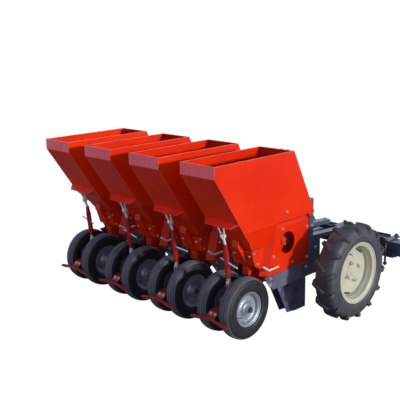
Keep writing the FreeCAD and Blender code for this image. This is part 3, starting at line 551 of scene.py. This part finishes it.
def merge_flat(bm, degrees=0.6):
    """Joins the triangles of each flat face; a face with a hole in it is joined in parts round the hole."""
    lim = math.radians(degrees)

    def flat(e):
        return e.calc_face_angle(math.pi) < lim

    done, todo = [], [(g, 0) for g in spread(list(bm.faces), flat)]
    while todo:
        g, depth = todo.pop()
        if len(g) < 2:
            continue
        if not has_hole(g):
            done.append(g)
            continue
        if depth > 9:
            continue
        mids = [f.calc_center_median() for f in g]
        ax = max(range(3), key=lambda i: max(m[i] for m in mids) - min(m[i] for m in mids))
        cut = sorted(m[ax] for m in mids)[len(mids) // 2]
        for side in (True, False):
            part = [f for f, m in zip(g, mids) if (m[ax] < cut) == side]
            if len(part) == len(g):
                break
            keep = set(part)
            for q in spread(part, lambda e: flat(e) and all(f in keep for f in e.link_faces)):
                todo.append((q, depth + 1))
    for g in done:
        bmesh.ops.dissolve_faces(bm, faces=[f for f in g if f.is_valid], use_verts=False)
    line = []
    for v in bm.verts:
        if len(v.link_edges) == 2:
            p, q = (e.other_vert(v).co - v.co for e in v.link_edges)
            if p.length > 0 and q.length > 0 and p.angle(-q) < math.radians(0.5):
                line.append(v)
    if line:
        bmesh.ops.dissolve_verts(bm, verts=line)


def refined(node, mats, width=1.2, angle=30.0, edge=True, merge=1e-5, name=None, faces=None):
    """The CAD node's own shape as a new mesh with rounded edges; with edge set, the bevel faces take the last material,
    a lighter edge colour for wear, on the red parts also a painted highlight.
    """
    src = frame["nodes"][node].data
    bm = bmesh.new()
    vs = [bm.verts.new(v.co) for v in src.vertices]
    for p in src.polygons:
        try:
            bm.faces.new([vs[i] for i in p.vertices])
        except ValueError:
            pass
    bmesh.ops.remove_doubles(bm, verts=bm.verts, dist=merge)
    bmesh.ops.dissolve_degenerate(bm, edges=bm.edges, dist=1e-6)
    bmesh.ops.recalc_face_normals(bm, faces=bm.faces)
    merge_flat(bm)
    bmesh.ops.recalc_face_normals(bm, faces=bm.faces)
    loose = [v for v in bm.verts if not v.link_faces]
    bmesh.ops.delete(bm, geom=loose, context="VERTS")
    lim = math.radians(angle)
    for e in bm.edges:
        e.smooth = True
        if width <= 0:
            e.smooth = not (len(e.link_faces) != 2 or e.calc_face_angle(math.pi) > lim)
    for f in bm.faces:
        f.smooth = True
        if faces:
            f.material_index = faces(f.calc_center_median(), f.normal)
    me = bpy.data.meshes.new(name or "look_" + node)
    bm.to_mesh(me)
    bm.free()
    for m in mats:
        me.materials.append(m)
    ob = bpy.data.objects.new(name or "look_" + node, me)
    bpy.context.scene.collection.objects.link(ob)
    if width > 0:
        add_bevel(ob, width * MM, angle, len(mats) - 1 if edge else -1)
    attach(ob, BODY[node])
    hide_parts(node)
    return ob


# ------------------------------------------------------ carried-over CAD nodes
for k in UNITS:
    # rear-facing faces high on the hopper (the rim band, the inside of the front wall) take the pink red: painted sky
    # reflection
    refined("hopper_%d" % k, [RED, RED_PAINTED_SKY_REFLECTION, RED_EDGE_WEAR_AND_HIGHLIGHT], 1.6, 25,
            faces=lambda c, n: 1 if n.y < -0.9 and c.z > 1.09 else 0)
    refined("unit_frame_%d" % k, [NAVY_FRAME, NAVY_EDGE], 1.6, 28)
    refined("wheel_arm_%d" % k, [RED, RED_EDGE_WEAR_AND_HIGHLIGHT], 1.6, 32)
refined("elevator_housings", [RED, RED_EDGE_WEAR_AND_HIGHLIGHT], 1.4, 30)
refined("side_covers", [RED, RED_EDGE_WEAR_AND_HIGHLIGHT], 1.2, 28)
refined("rear_covers", [RED, RED_EDGE_WEAR_AND_HIGHLIGHT], 1.6, 24)
refined("latch_handles", [ZINC_PAINTED_REFLECTION], 0.8, 40, edge=False)
refined("furrow_openers", [NAVY_SHOE, NAVY_EDGE], 1.2, 28)
refined("scrapers", [DARK_RED_PAINTED_SHADE, RED_EDGE_WEAR_AND_HIGHLIGHT], 0.8, 28)
refined("depth_brackets", [BRACKET_RED_PAINTED_BOUNCE, RED_EDGE_WEAR_AND_HIGHLIGHT], 1.0, 28)
refined("depth_tubes", [DARK_RED_PAINTED_SHADE, RED_EDGE_WEAR_AND_HIGHLIGHT], 1.0, 40)
refined("depth_screws", [ZINC_PAINTED_REFLECTION], 0.6, 38, edge=False)
refined("tommy_bars", [ZINC_PAINTED_REFLECTION], 1.2, 40, edge=False)
refined("wheel_carriers", [NAVY, NAVY_EDGE], 1.8, 28)
refined("wheel_chain_guards", [NAVY, NAVY_EDGE], 1.8, 35)
refined("unit_chain_guards", [NAVY, NAVY_EDGE], 1.8, 28)
refined("cross_shaft", [STEEL], 1.2, 40, edge=False)
refined("toolbar", [NAVY, NAVY_EDGE], 4.0, 40)
refined("beam_saddles", [NAVY, NAVY_EDGE], 1.4, 40)
refined("toolbar_clamps", [NAVY, NAVY_EDGE], 1.4, 40)
refined("headstock", [NAVY, NAVY_EDGE], 1.8, 32)

# ---------------------------------------------------------------- press tyres
TYRE_HALF = [(0.0, 207.5), (7.6, 207.3), (8.3, 206.9), (9.0, 200.6), (13.6, 200.4), (14.3, 206.7), (15.1, 206.9), (24.0, 205.3),
             (24.7, 204.9), (25.2, 198.9), (29.6, 198.0), (30.3, 203.6), (31.0, 203.6), (35.0, 201.7), (35.7, 200.9),
             (35.6, 198.8), (36.8, 198.2), (37.8, 199.4), (39.8, 197.6), (40.4, 196.8), (40.1, 195.0), (41.1, 193.9),
             (42.3, 194.4), (43.5, 191.8), (44.0, 190.4), (43.2, 188.9), (43.8, 187.0), (45.3, 186.6), (46.5, 182.5),
             (47.6, 177.0), (48.9, 174.5), (49.3, 172.0), (48.6, 169.5), (49.2, 163.0), (49.8, 154.0), (49.8, 146.0),
             (49.3, 138.5), (48.9, 136.0), (49.4, 134.8), (49.2, 133.0), (48.0, 131.0), (47.0, 126.0), (45.0, 122.0),
             (42.8, 120.4), (40.6, 119.6), (35.0, 118.5), (31.0, 110.0), (28.0, 103.0)]
for k in UNITS:
    B = Build()
    for s in (-1, 1):
        half = [(x, r) for x, r in TYRE_HALF]
        prof = [(-x, r) for x, r in reversed(half)] + half[1:]
        B.lathe(prof, (ux(k) + 100 * s, 0, 207.5), (1, 0, 0), 144)
        # moulding tick marks round the shoulder
        for i in range(48):
            a = 2 * math.pi * (i + (0.5 if s > 0 else 0)) / 48
            for q in (-1, 1):
                d = Vector((0, math.cos(a), math.sin(a)))
                c = Vector((ux(k) + 100 * s, 0, 207.5))
                p0 = c + d * 181.5 + Vector((q * 46.2, 0, 0))
                p1 = c + d * 176.5 + Vector((q * 47.3, 0, 0))
                B.tube([p0, p1], 1.3, 0, 6, [0.8, 0.5])
    ob = B.make("press_tyre_pair_%d" % k, [PRESS_RUBBER_DUST_AND_REFLECTION, PRESS_SIDE], "press_wheels_%d" % k, 30,
                ["press_tyres_%d" % k])
    # faces away from the tread's middle take the dark sidewall rubber; the tread keeps the lighter rubber, dust plus
    # painted sky reflection
    for p in ob.data.polygons:
        if abs(abs(p.center.x - ux(k) * MM) - 0.1) > 0.0404:
            p.material_index = 1

# ----------------------------------------------------------------- press rims
RIM_OUT = [(-34, 12.5), (-34, 25), (-33, 26), (-9, 30), (-5, 33), (0.5, 44), (1, 48), (1, 86), (0, 89.5), (-4, 93.5), (-8, 95),
           (-12, 96.2), (-13.5, 98.0), (-17.5, 98.2), (-19, 96.6), (-27, 97), (-30, 98.5), (-34, 105.5), (-36, 108.5), (-40, 111), (-41, 112.5), (-41, 116), (-40, 117), (-37.5, 116.6),
           (-33.6, 111), (-30.5, 103), (-29, 101.8), (-16, 99.5), (16, 99.5), (29, 101.8), (30.5, 103), (33.6, 111), (37.5, 116.6),
           (40, 117), (41, 116), (41, 112.5), (40, 111), (36, 108.5), (34, 105.5), (30.5, 98.5), (28, 97), (22, 95.6), (20.6, 97.2), (17.4, 96.8), (15.6, 94.2),
           (11, 93), (8.6, 90), (8, 87), (8, 62), (8.6, 59), (12, 50), (14, 47.5), (22, 43.5), (24, 42), (28.4, 36.5),
           (29, 35), (29, 12.5)]
for k in UNITS:
    B = Build()
    for s in (-1, 1):
        c = Vector((ux(k) + 100 * s, 0, 207.5))
        ax = Vector((s, 0, 0))
        B.lathe(RIM_OUT, c, ax, 96, 0)
        # hub cap ring, castle nut, washer, axle end and split pin
        B.solid_lathe([(27, 30), (34, 29.5), (36, 27), (46.5, 26), (48.0, 24.5), (48.0, 8)], c, ax, 48, 0)
        B.washer(c + ax * 47.9, ax, 21.5, 2.8, 1)
        B.hexagon(c + ax * 50.6, ax, 33.0, 10.5, 1, 0.3)
        B.thread(c + ax * 59, ax, 10.5, 6.8, 1, 1.5, 0.6)
        B.tube([c + ax * 56.5 + Vector((0, -19, 4)), c + ax * 57 + Vector((0, -10, 2)), c + ax * 57.5 + Vector((0, 10, -3)), c + ax * 56.5 + Vector((0, 19, -5))], 1.6, 1, 8)
        # weld ring between disc and barrel, and the valve
        B.lathe([(-6, 94.2), (-2.5, 93.0), (-1.0, 90.5), (-3.5, 91.0), (-7, 93.5)], c, ax, 96, 0)
        va = math.radians(205 if s > 0 else 40)
        vd = Vector((0, math.cos(va), math.sin(va)))
        base = c + vd * 96 + ax * 14
        B.solid_lathe([(0, 7.5), (5, 6.8), (8, 5.2), (12, 4.2), (22, 3.9), (22, 1)], base, (ax * 1.0 - vd * 0.55), 16, 3)
        B.solid_lathe([(0, 3.0), (5, 3.0), (5.6, 4.2), (13, 4.2), (14, 3.4), (14, 0.8)], base + (ax - vd * 0.55).normalized() * 21, (ax - vd * 0.55), 14, 1)
        # four pressed stiffening dimples round the disc
        for i in range(4):
            a = math.radians(45 + 90 * i)
            d = Vector((0, math.cos(a), math.sin(a)))
            B.solid_lathe([(0.5, 8.5), (1.6, 7.2), (2.1, 4.5), (2.1, 1)], c + d * 73 + ax * 7, ax, 24, 0)
    # the axle between the hubs
    B.solid_lathe([(-68, 12.3), (-67, 12.49), (67, 12.49), (68, 12.3)], (ux(k), 0, 207.5), (1, 0, 0), 40, 2)
    for s in (-1, 1):
        B.solid_lathe([(0, 19), (1, 20), (9, 20), (10, 19), (10, 8)], (ux(k) + s * 44 - (10 if s < 0 else 0), 0, 207.5), (1, 0, 0), 32, 2)
    B.make("press_rim_pair_%d" % k, [GALV, DARKSTEEL, ZINC, PRESS_RUBBER_DUST_AND_REFLECTION], "press_wheels_%d" % k, 34,
           ["press_rims_%d" % k])

# ---------------------------------------------------------------- drive tyres
CARC = [(0.0, 324.5), (14.0, 324.4), (28.0, 323.6), (42.0, 321.4), (54.0, 317.2), (62.0, 311.5), (68.0, 303.5), (72.0, 294.0),
        (75.0, 283.0), (77.5, 272.0), (79.2, 262.0), (80.2, 257.5), (81.3, 256.0), (81.5, 253.5), (80.6, 251.5), (80.4, 245.0),
        (80.0, 238.0), (79.6, 234.6), (80.2, 233.4), (79.7, 231.6), (78.0, 229.0), (76.2, 224.5), (74.0, 221.0), (71.5, 218.6),
        (65.8, 216.8), (60.5, 203.0), (56.0, 192.7)]
LUG_TOP = [(-8.0, 339.0), (2.0, 339.9), (13.0, 339.8), (25.0, 339.4), (37.0, 338.5), (49.0, 336.8), (60.0, 334.0), (69.0, 330.0),
           (75.5, 324.5), (79.3, 317.0), (80.6, 306.0), (80.6, 295.0), (79.8, 284.0), (78.9, 272.0)]
LUG_BASE = [(-10.0, 322.0), (2.0, 322.2), (13.0, 322.0), (25.0, 321.4), (37.0, 320.0), (48.0, 317.4), (56.0, 313.4), (63.0, 308.0),
            (67.5, 301.5), (70.5, 295.0), (72.5, 289.0), (74.2, 282.5), (75.7, 276.0), (77.5, 268.0)]
LUG_ADV = [0.0, 9.0, 18.0, 27.0, 35.0, 42.0, 48.0, 53.0, 57.0, 59.5, 61.0, 62.0, 63.0, 64.0]
LUG_W = [19.0, 21.0, 22.0, 23.0, 24.0, 25.0, 26.0, 27.0, 28.0, 28.5, 28.5, 27.5, 25.0, 20.0]
LUGS = 14


def drive_tyre(name, s):
    B = Build()
    c = Vector((1150.0 * s, 750.0, 340.0))
    prof = [(-x, r) for x, r in reversed(CARC)] + CARC[1:]
    B.lathe(prof, c, (1, 0, 0), 140, 1)

    def at(x, adv, r, base):
        # adv is measured round the tread at 330 mm; the shoulder leads the middle
        a = base + adv / 330.0
        # angle 0 at the rear, growing upwards and over the top
        return c + Vector((x, -math.cos(a) * r, math.sin(a) * r))

    n = len(LUG_TOP)
    for side in (-1, 1):
        for i in range(LUGS):
            base = 2 * math.pi * (i + (0.5 if side < 0 else 0.0)) / LUGS
            loops = []
            for j in range(n):
                jm, jp = max(j - 1, 0), min(j + 1, n - 1)
                dx = LUG_BASE[jp][0] - LUG_BASE[jm][0]
                da = LUG_ADV[jp] - LUG_ADV[jm]
                L = math.hypot(dx, da) or 1.0
                # across the bar, in the plane of the tread; square to the axle on the side
                nx, na = -da / L, dx / L
                if j >= 8:
                    nx, na = nx * max(0.0, 1 - (j - 7) * 0.3), 1.0
                wt = LUG_W[j] / 2
                wb = wt + (7.5 if j < 9 else 5.0)
                xt, rt = LUG_TOP[j]
                xb, rb = LUG_BASE[j]
                a = LUG_ADV[j]
                hx, hr = xt - xb, rt - rb
                ring = []
                for q, w, f in ((-1, wb, 0.0), (-1, wt + 2.6, 0.55), (-1, wt + 0.6, 0.90), (-1, wt - 1.6, 1.0),
                                (1, wt - 1.6, 1.0), (1, wt + 0.6, 0.90), (1, wt + 2.6, 0.55), (1, wb, 0.0)):
                    ring.append(at((xb + hx * f + q * w * nx) * side, a + q * w * na, rb + hr * f - (0.5 if f == 1.0 and j == 0 else 0), base))
                loops.append(ring)
            # rounded inner end
            first = loops[0]
            mid = sum(first, Vector()) / len(first)
            loops.insert(0, [p.lerp(mid, 0.25) + Vector((-3.0 * side, 0, 0)) for p in first])
            B.rings(loops, 0)
    # fine mould rib between the bars
    for side in (-1, 1):
        for i in range(LUGS):
            base = 2 * math.pi * (i + (0.5 if side < 0 else 0.0) + 0.55) / LUGS
            pts = [at(side * x, 30 + (x - 20) * 0.5, r, base) for x, r in ((14, 324.0), (30, 323.0), (46, 319.9), (58, 314.0))]
            B.tube(pts, 1.6, 0, 6, [0.6, 1.0, 1.0, 0.6])
    return B.make("drive_tyre_lugged_" + name, [DRIVE_RUBBER, DRIVE_SIDE], "drive_wheel_" + name, 34,
                  ["drive_tyre_" + name])


for name, s in (("left", -1), ("right", 1)):
    drive_tyre(name, s)
    refined("drive_rim_" + name, [CREAM, CREAM_EDGE], 1.0, 34)
    B = Build()
    c = Vector((1150.0 * s, 750.0, 340.0))
    ax = Vector((s, 0, 0))
    for i, ang in enumerate((20.0, 110.0, 200.0, 290.0)):
        a = math.radians(ang)
        p = c + Vector((15.0 * s, 69.0 * math.cos(a), 69.0 * math.sin(a)))
        B.washer(p - ax * 0.5, ax, 15.5, 3.0, 0)
        # conical seat, then the nut and the stud's end
        B.solid_lathe([(2, 14), (4.5, 12.5), (4.5, 4)], p, ax, 30, 0)
        B.hexagon(p + ax * 3.8, ax, 24.0, 13.0, 0, 0.2 + i * 0.5)
        B.thread(p + ax * 16.5, ax, 8.0, 7.0, 0, 1.5, 0.7)
    # centre: dust cap and a raised ring round it
    B.solid_lathe([(19, 29), (24, 29), (26, 27), (27, 20), (27.5, 6)], c, ax, 40, 1)
    B.lathe([(14.6, 46), (16.0, 47), (16.4, 50), (15.6, 53), (14.4, 53)], c, ax, 72, 1)
    # weld runs between disc and barrel, six of them, both sides
    for side_x in (-15.5, -4.0):
        for i in range(6):
            a0 = math.radians(60 * i + 8)
            pts, tap = [], []
            for j in range(25):
                a = a0 + math.radians(1.6 * j)
                pts.append(c + Vector((side_x * s, 170.5 * math.cos(a), 170.5 * math.sin(a))))
                tap.append(1.1 if j % 2 else 0.85)
            B.tube(pts, 3.0, 1, 8, tap)
    # valve
    a = math.radians(118)
    d = Vector((0, math.cos(a), math.sin(a)))
    q = c + d * 174 + ax * 38
    vax = (ax - d * 0.45).normalized()
    B.solid_lathe([(-4, 8), (3, 7.5), (8, 5.5), (13, 4.6), (26, 4.2), (26, 1)], q, vax, 18, 2)
    B.solid_lathe([(0, 3.2), (5, 3.2), (5.6, 4.5), (15, 4.5), (16, 3.6), (16, 1)], q + vax * 25, vax, 14, 0)
    B.make("drive_hub_fittings_" + name, [ZINC, CREAM, DRIVE_SIDE], "drive_wheel_" + name, 34)

# ------------------------------------------------------------ toolbar fixings
CLAMPS = ((-1195, 472.3, 55), (-750, 494.5, 45), (-250, 494.5, 45), (250, 494.5, 45), (750, 494.5, 45), (1195, 472.3, 55))
B = Build()
for i, (x, top, w) in enumerate(CLAMPS):
    for y, low, nut_z in ((1274, 318, 343.8), (1128, 296, 300.0)):
        B.thread((x, y, low + 60), (0, 0, -1), 8.0, 60.0, 0, 2.0, 0.8)
        B.solid_lathe([(0, 7.6), (0.5, 7.9), (top - low - 78, 7.9), (top - low - 77.5, 7.6)], (x, y, low + 58), (0, 0, 1), 20, 0)
        B.thread((x, y, top - 20), (0, 0, 1), 8.0, 46.0 if y > 1200 else 45.0, 0, 2.0, 0.8)
        B.washer((x, y, top + 9.8), (0, 0, 1), 15.0, 2.8, 0)
        B.hexagon((x, y, top + 12.6), (0, 0, 1), 24.0, 12.5, 0, 0.4 * i)
        if y > 1200:
            B.washer((x, y, 358.2), (0, 0, -1), 15.0, 2.8, 0)
            B.hexagon((x, y, 355.4), (0, 0, -1), 24.0, 12.5, 0, 0.7 * i)
        else:
            B.hexagon((x, y, 316.0), (0, 0, -1), 26.0, 14.0, 0, 0.3 * i)
B.make("toolbar_clamp_studs", [DARKSTEEL], "root", 34, ["clamp_bolts"])

# ------------------------------------------------------ bolts over the machine
B = Build()
rnd = random.Random(7)
for k in UNITS:
    x = ux(k)
    for s in (-1, 1):
        ax = (s, 0, 0)
        for (y, z, xf, af) in ((367, 790, 150, 15), (339, 676, 140, 15), (248, 504, 140, 15), (441, 422, 140, 15),
                               (604, 420, 140, 15), (604, 640, 140, 15), (206, 364, 150, 17), (200, 322, 150, 17),
                               (584, 354, 150, 17), (652, 636, 145, 17), (690, 470, 150, 19), (690, 350, 150, 19)):
            B.bolt((x + xf * s, y, z), ax, af, 7.0, 0, rnd.uniform(0, 1.0))
        B.bolt((x + 95 * s, 104, 548), ax, 13, 6.0, 0, rnd.uniform(0, 1.0))
        B.bolt((x + 95 * s, 138, 470), ax, 13, 6.0, 0, rnd.uniform(0, 1.0))
        B.bolt((x + 66 * s, 92.5, 527), (0, -1, 0), 13, 6.0, 0, rnd.uniform(0, 1.0))
        if s > 0:
            B.bolt((x + 120.5, 331, 249), ax, 15, 6.5, 0, rnd.uniform(0, 1.0))
        # bolts of the flange bearing on the elevator wall, seen through the cover's hole
        for q in range(3):
            t = 2 * math.pi * q / 3 + 0.5
            B.bolt((x + 69 * s, 450 + 23 * math.cos(t), 556 + 23 * math.sin(t)), ax, 12, 6.0, 0, rnd.uniform(0, 1.0))
        # beams down to the saddles
        B.bolt((x + 120 * s, 1184, 528.5), (0, 0.07, 0.998), 19, 8.0, 0, rnd.uniform(0, 1.0))
        # bearing hangers of the cross shaft
        for y in (920, 980):
            B.bolt((x + 104.5 * s + (14.5 * s), y, 512), ax, 10, 4.5, 0, rnd.uniform(0, 1.0), wash=False)
    # scraper to the tail, two bolts
    for dx in (-10, 28):
        B.bolt((x + dx, -195, 199.2), (0, -0.707, 0.707), 14, 6.0, 0, rnd.uniform(0, 1.0))
B.make("unit_bolts", [ZINC], "root", 34)

# --------------------------------------------------------------- weld beads
B = Build()
n = 0
for k in UNITS:
    x = ux(k)
    for s in (-1, 1):
        n += 7
        # posts to plates and beams
        B.weld((x + 145 * s, 624, 530), (x + 145 * s, 624, 560), 2.2, 1, n)
        B.weld((x + 145.5 * s, 625, 567.2), (x + 145.5 * s, 668, 564.1), 3.0, 1, n + 1)
        B.weld((x + 98 * s, 668.5, 564.1), (x + 145 * s, 668.5, 564.1), 3.0, 1, n + 2)
        B.weld((x + 138 * s, 676, 386), (x + 138 * s, 676, 444), 3.0, 1, n + 3)
        B.weld((x + 138 * s, 676, 444.5), (x + 138 * s, 736, 444.5), 3.0, 1, n + 4)
        B.weld((x + 138 * s, 736.5, 386), (x + 138 * s, 736.5, 444), 3.0, 1, n + 5)
        B.weld((x + 104 * s, 905, 515.6), (x + 132 * s, 905, 515.6), 2.6, 1, n + 6)
        B.weld((x + 104 * s, 995, 509.4), (x + 132 * s, 995, 509.4), 2.6, 1, n + 9)
    # shelf and clevis under the hopper's rear slope
    B.weld((x - 104, -99, 799), (x + 104, -99, 799), 2.4, 0, n + 11)
    B.weld((x - 104, -97.5, 794), (x + 104, -97.5, 794), 2.4, 0, n + 12)
    # arm: boss, tail and lug
    for s in (-1, 1):
        B.weld((x + 7.5 * s, -50, 300), (x + 7.5 * s, -14, 266), 2.4, 0, n + 13)
        B.weld((x + 5.5 * s, -53, 221), (x + 5.5 * s, -46, 196), 2.6, 0, n + 14)
    # housing under the sump
    for s in (-1, 1):
        B.weld((x + 94 * s, 86, 571), (x + 94 * s, 272, 571), 2.2, 0, n + 15)
B.make("weld_beads", [RED, NAVY], "root", 50)

# headstock, carriers and saddles
B = Build()
for s in (-1, 1):
    B.weld((412.5 * s, 1252, 374), (412.5 * s, 1252, 470), 3.2, 0, 50 + s)
    B.weld((396 * s, 1264.5, 376), (396 * s, 1264.5, 468), 3.2, 0, 60 + s)
    B.weld((26.5 * s, 1264.5, 376), (26.5 * s, 1264.5, 468), 3.2, 0, 70 + s)
    B.weld((38.5 * s, 1345.5, 745), (38.5 * s, 1345.5, 800), 3.0, 0, 72 + s)
    B.weld((38.5 * s, 1331, 745), (38.5 * s, 1331, 800), 3.0, 0, 74 + s)
    B.weld((1005.5 * s, 1136, 380), (1005.5 * s, 1136, 464), 3.2, 0, 80 + s)
    B.weld((954.5 * s, 1136, 380), (954.5 * s, 1136, 464), 3.2, 0, 82 + s)
    # grease nipples on the carriers and collars on the lower pins
    B.solid_lathe([(0, 4.5), (4, 4.5), (5, 3), (8, 3), (9, 4), (11.5, 3.4), (12.5, 1)], (980 * s, 750, 389), (0, 0, 1), 14, 1)
    B.lathe([(0, 14.3), (0, 22), (1, 23), (7, 23), (8, 22), (8, 14.3)], (412.8 * s, 1440, 330), (s, 0, 0), 36, 0)
B.weld((-22, 1332.5, 699), (22, 1332.5, 699), 3.0, 0, 91)
B.make("hitch_welds", [NAVY, ZINC], "root", 50)

# shaft collars with set screws, on the cross shaft
B = Build()
for x in (-1000, -868, -632, -368, -132, 132, 368, 632, 868, 1000):
    if abs(x) > 990:
        continue
    B.lathe([(-7, 12.55), (-7, 19), (-6, 20), (6, 20), (7, 19), (7, 12.55)], (x, 950, 495), (1, 0, 0), 40, 0)
    B.solid_lathe([(0, 3.4), (1.5, 3.6), (2.6, 3.2), (2.6, 0.8)], (x, 950, 514), (0, 0, 1), 12, 1)
B.make("shaft_collars", [DARKSTEEL, ZINC], "cross_shaft_body", 34)

# lock nuts and thread ridges of the depth screws
B = Build()
for k in UNITS:
    x = ux(k)
    for (y1, z1, y2, z2) in ((-68.2, 634.0, -86.5, 684.0), (-40.0, 372.0, -42.8, 396.0)):
        a, b = Vector((x, y1, z1)), Vector((x, y2, z2))
        d = (b - a).normalized()
        L = (b - a).length
        B.thread(a - d * 0.5, d, 9.6, L - 2, 0, 2.5, 0.7, 24)
    a, b = Vector((x, -43.0, 398.0)), Vector((x, -68.0, 632.0))
    d = (b - a).normalized()
    B.hexagon(b, d, 24.0, 6.0, 2, 0.3)
    B.hexagon(a, -d, 26.0, 9.0, 0, 0.3)
    # washers on the clevis pins
    for (y, z) in ((-88, 695), (-35, 332)):
        for s in (-1, 1):
            B.washer((x + s * 14.5, y, z), (s, 0, 0), 12.5, 2.0, 0)
B.make("screw_fittings", [ZINC_PAINTED_REFLECTION, RED, DARKSTEEL], "root", 34)

# ---------------------------------------------------------------- stage
def stage_floor():
    me = bpy.data.meshes.new("floor")
    n, R = 96, 10.0
    verts = [(0, 0, 0)] + [(R * math.cos(2 * math.pi * i / n), R * math.sin(2 * math.pi * i / n), 0) for i in range(n)]
    faces = [(0, 1 + i, 1 + (i + 1) % n) for i in range(n)]
    me.from_pydata([(x, y, z - 0.0006) for x, y, z in verts], [], faces)
    m, t, b = nodes_of("floor_white")
    b.inputs["Base Color"].default_value = (0.25, 0.25, 0.26, 1)
    b.inputs["Roughness"].default_value = 0.85
    b.inputs["Specular IOR Level"].default_value = 0.15
    # the camera sees the sweep as plain white; the piece is lit by its grey
    em = t.nodes.new("ShaderNodeEmission")
    em.inputs[0].default_value = (1.0, 1.0, 1.0, 1.0)
    em.inputs[1].default_value = 1.05
    lp = t.nodes.new("ShaderNodeLightPath")
    mx = t.nodes.new("ShaderNodeMixShader")
    out = next(n for n in t.nodes if n.type == "OUTPUT_MATERIAL")
    t.links.new(lp.outputs["Is Camera Ray"], mx.inputs[0])
    t.links.new(b.outputs[0], mx.inputs[1])
    t.links.new(em.outputs[0], mx.inputs[2])
    t.links.new(mx.outputs[0], out.inputs[0])
    me.materials.append(m)
    ob = bpy.data.objects.new("floor", me)
    bpy.context.scene.collection.objects.link(ob)


stage_floor()

sc = bpy.context.scene
sc.view_settings.view_transform = "Standard"
sc.view_settings.look = "None"
sc.view_settings.exposure = 0.0
sc.view_settings.gamma = 1.0

w = bpy.data.worlds.new("studio")
sc.world = w
w.use_nodes = True
bg = w.node_tree.nodes["Background"]
bg.inputs[1].default_value = 1.0
wt = w.node_tree
# sky: bright low down, blue and dimmer overhead
tc = wt.nodes.new("ShaderNodeTexCoord")
sx = wt.nodes.new("ShaderNodeSeparateXYZ")
cr = wt.nodes.new("ShaderNodeValToRGB")
wt.links.new(tc.outputs["Generated"], sx.inputs[0])
wt.links.new(sx.outputs[2], cr.inputs[0])
wt.links.new(cr.outputs[0], bg.inputs[0])
cr.color_ramp.elements[0].position = 0.0
cr.color_ramp.elements[0].color = (0.80, 0.86, 0.95, 1)
cr.color_ramp.elements[1].position = 0.75
cr.color_ramp.elements[1].color = (0.16, 0.22, 0.36, 1)
el = cr.color_ramp.elements.new(0.34)
el.color = (0.62, 0.74, 0.92, 1)
# the camera sees plain white behind the piece
bw = wt.nodes.new("ShaderNodeBackground")
bw.inputs[0].default_value = (1.0, 1.0, 1.0, 1)
bw.inputs[1].default_value = 1.05
lp = wt.nodes.new("ShaderNodeLightPath")
mx = wt.nodes.new("ShaderNodeMixShader")
wo = next(n for n in wt.nodes if n.type == "OUTPUT_WORLD")
wt.links.new(lp.outputs["Is Camera Ray"], mx.inputs[0])
wt.links.new(bg.outputs[0], mx.inputs[1])
wt.links.new(bw.outputs[0], mx.inputs[2])
wt.links.new(mx.outputs[0], wo.inputs[0])


def aim(ob, at):
    ob.rotation_mode = "QUATERNION"
    ob.rotation_quaternion = (Vector(at) - ob.location).to_track_quat("-Z", "Y")


def area(name, loc, at, size, power, colour):
    li = bpy.data.lights.new(name, "AREA")
    li.shape = "DISK"
    li.size = size
    li.energy = power
    li.color = colour
    ob = bpy.data.objects.new(name, li)
    ob.location = loc
    sc.collection.objects.link(ob)
    aim(ob, at)
    return ob


sun = bpy.data.lights.new("key", "SUN")
sun.energy = 2.9
sun.angle = math.radians(5.0)
sun.color = (1.0, 0.95, 0.88)
so = bpy.data.objects.new("key", sun)
so.location = (8.0, 1.1, 1.75)
sc.collection.objects.link(so)
aim(so, (0, 0, 0.15))
area("top", (-0.5, 0.5, 7.0), (0, 0, 0.5), 7.0, 120.0, (0.94, 0.97, 1.0))

# ---------------------------------------------------------------- camera
a, e, r = math.radians(45.89), math.radians(13.63), math.radians(-1.19)
fw = Vector((-math.sin(a) * math.cos(e), math.cos(a) * math.cos(e), -math.sin(e)))
rt = Vector((math.cos(a), math.sin(a), 0.0))
up = rt.cross(fw)
rt2 = rt * math.cos(r) + up * math.sin(r)
up2 = -rt * math.sin(r) + up * math.cos(r)
cd = bpy.data.cameras.new("photo_view")
cd.sensor_width = 36.0
cd.lens = 705.75 * 36.0 / 400.0
cam = bpy.data.objects.new("photo_view", cd)
cam.matrix_world = Matrix(((rt2.x, up2.x, -fw.x, 3.7465), (rt2.y, up2.y, -fw.y, -3.7898), (rt2.z, up2.z, -fw.z, 1.9796),
                           (0, 0, 0, 1)))
sc.collection.objects.link(cam)
sc.camera = cam
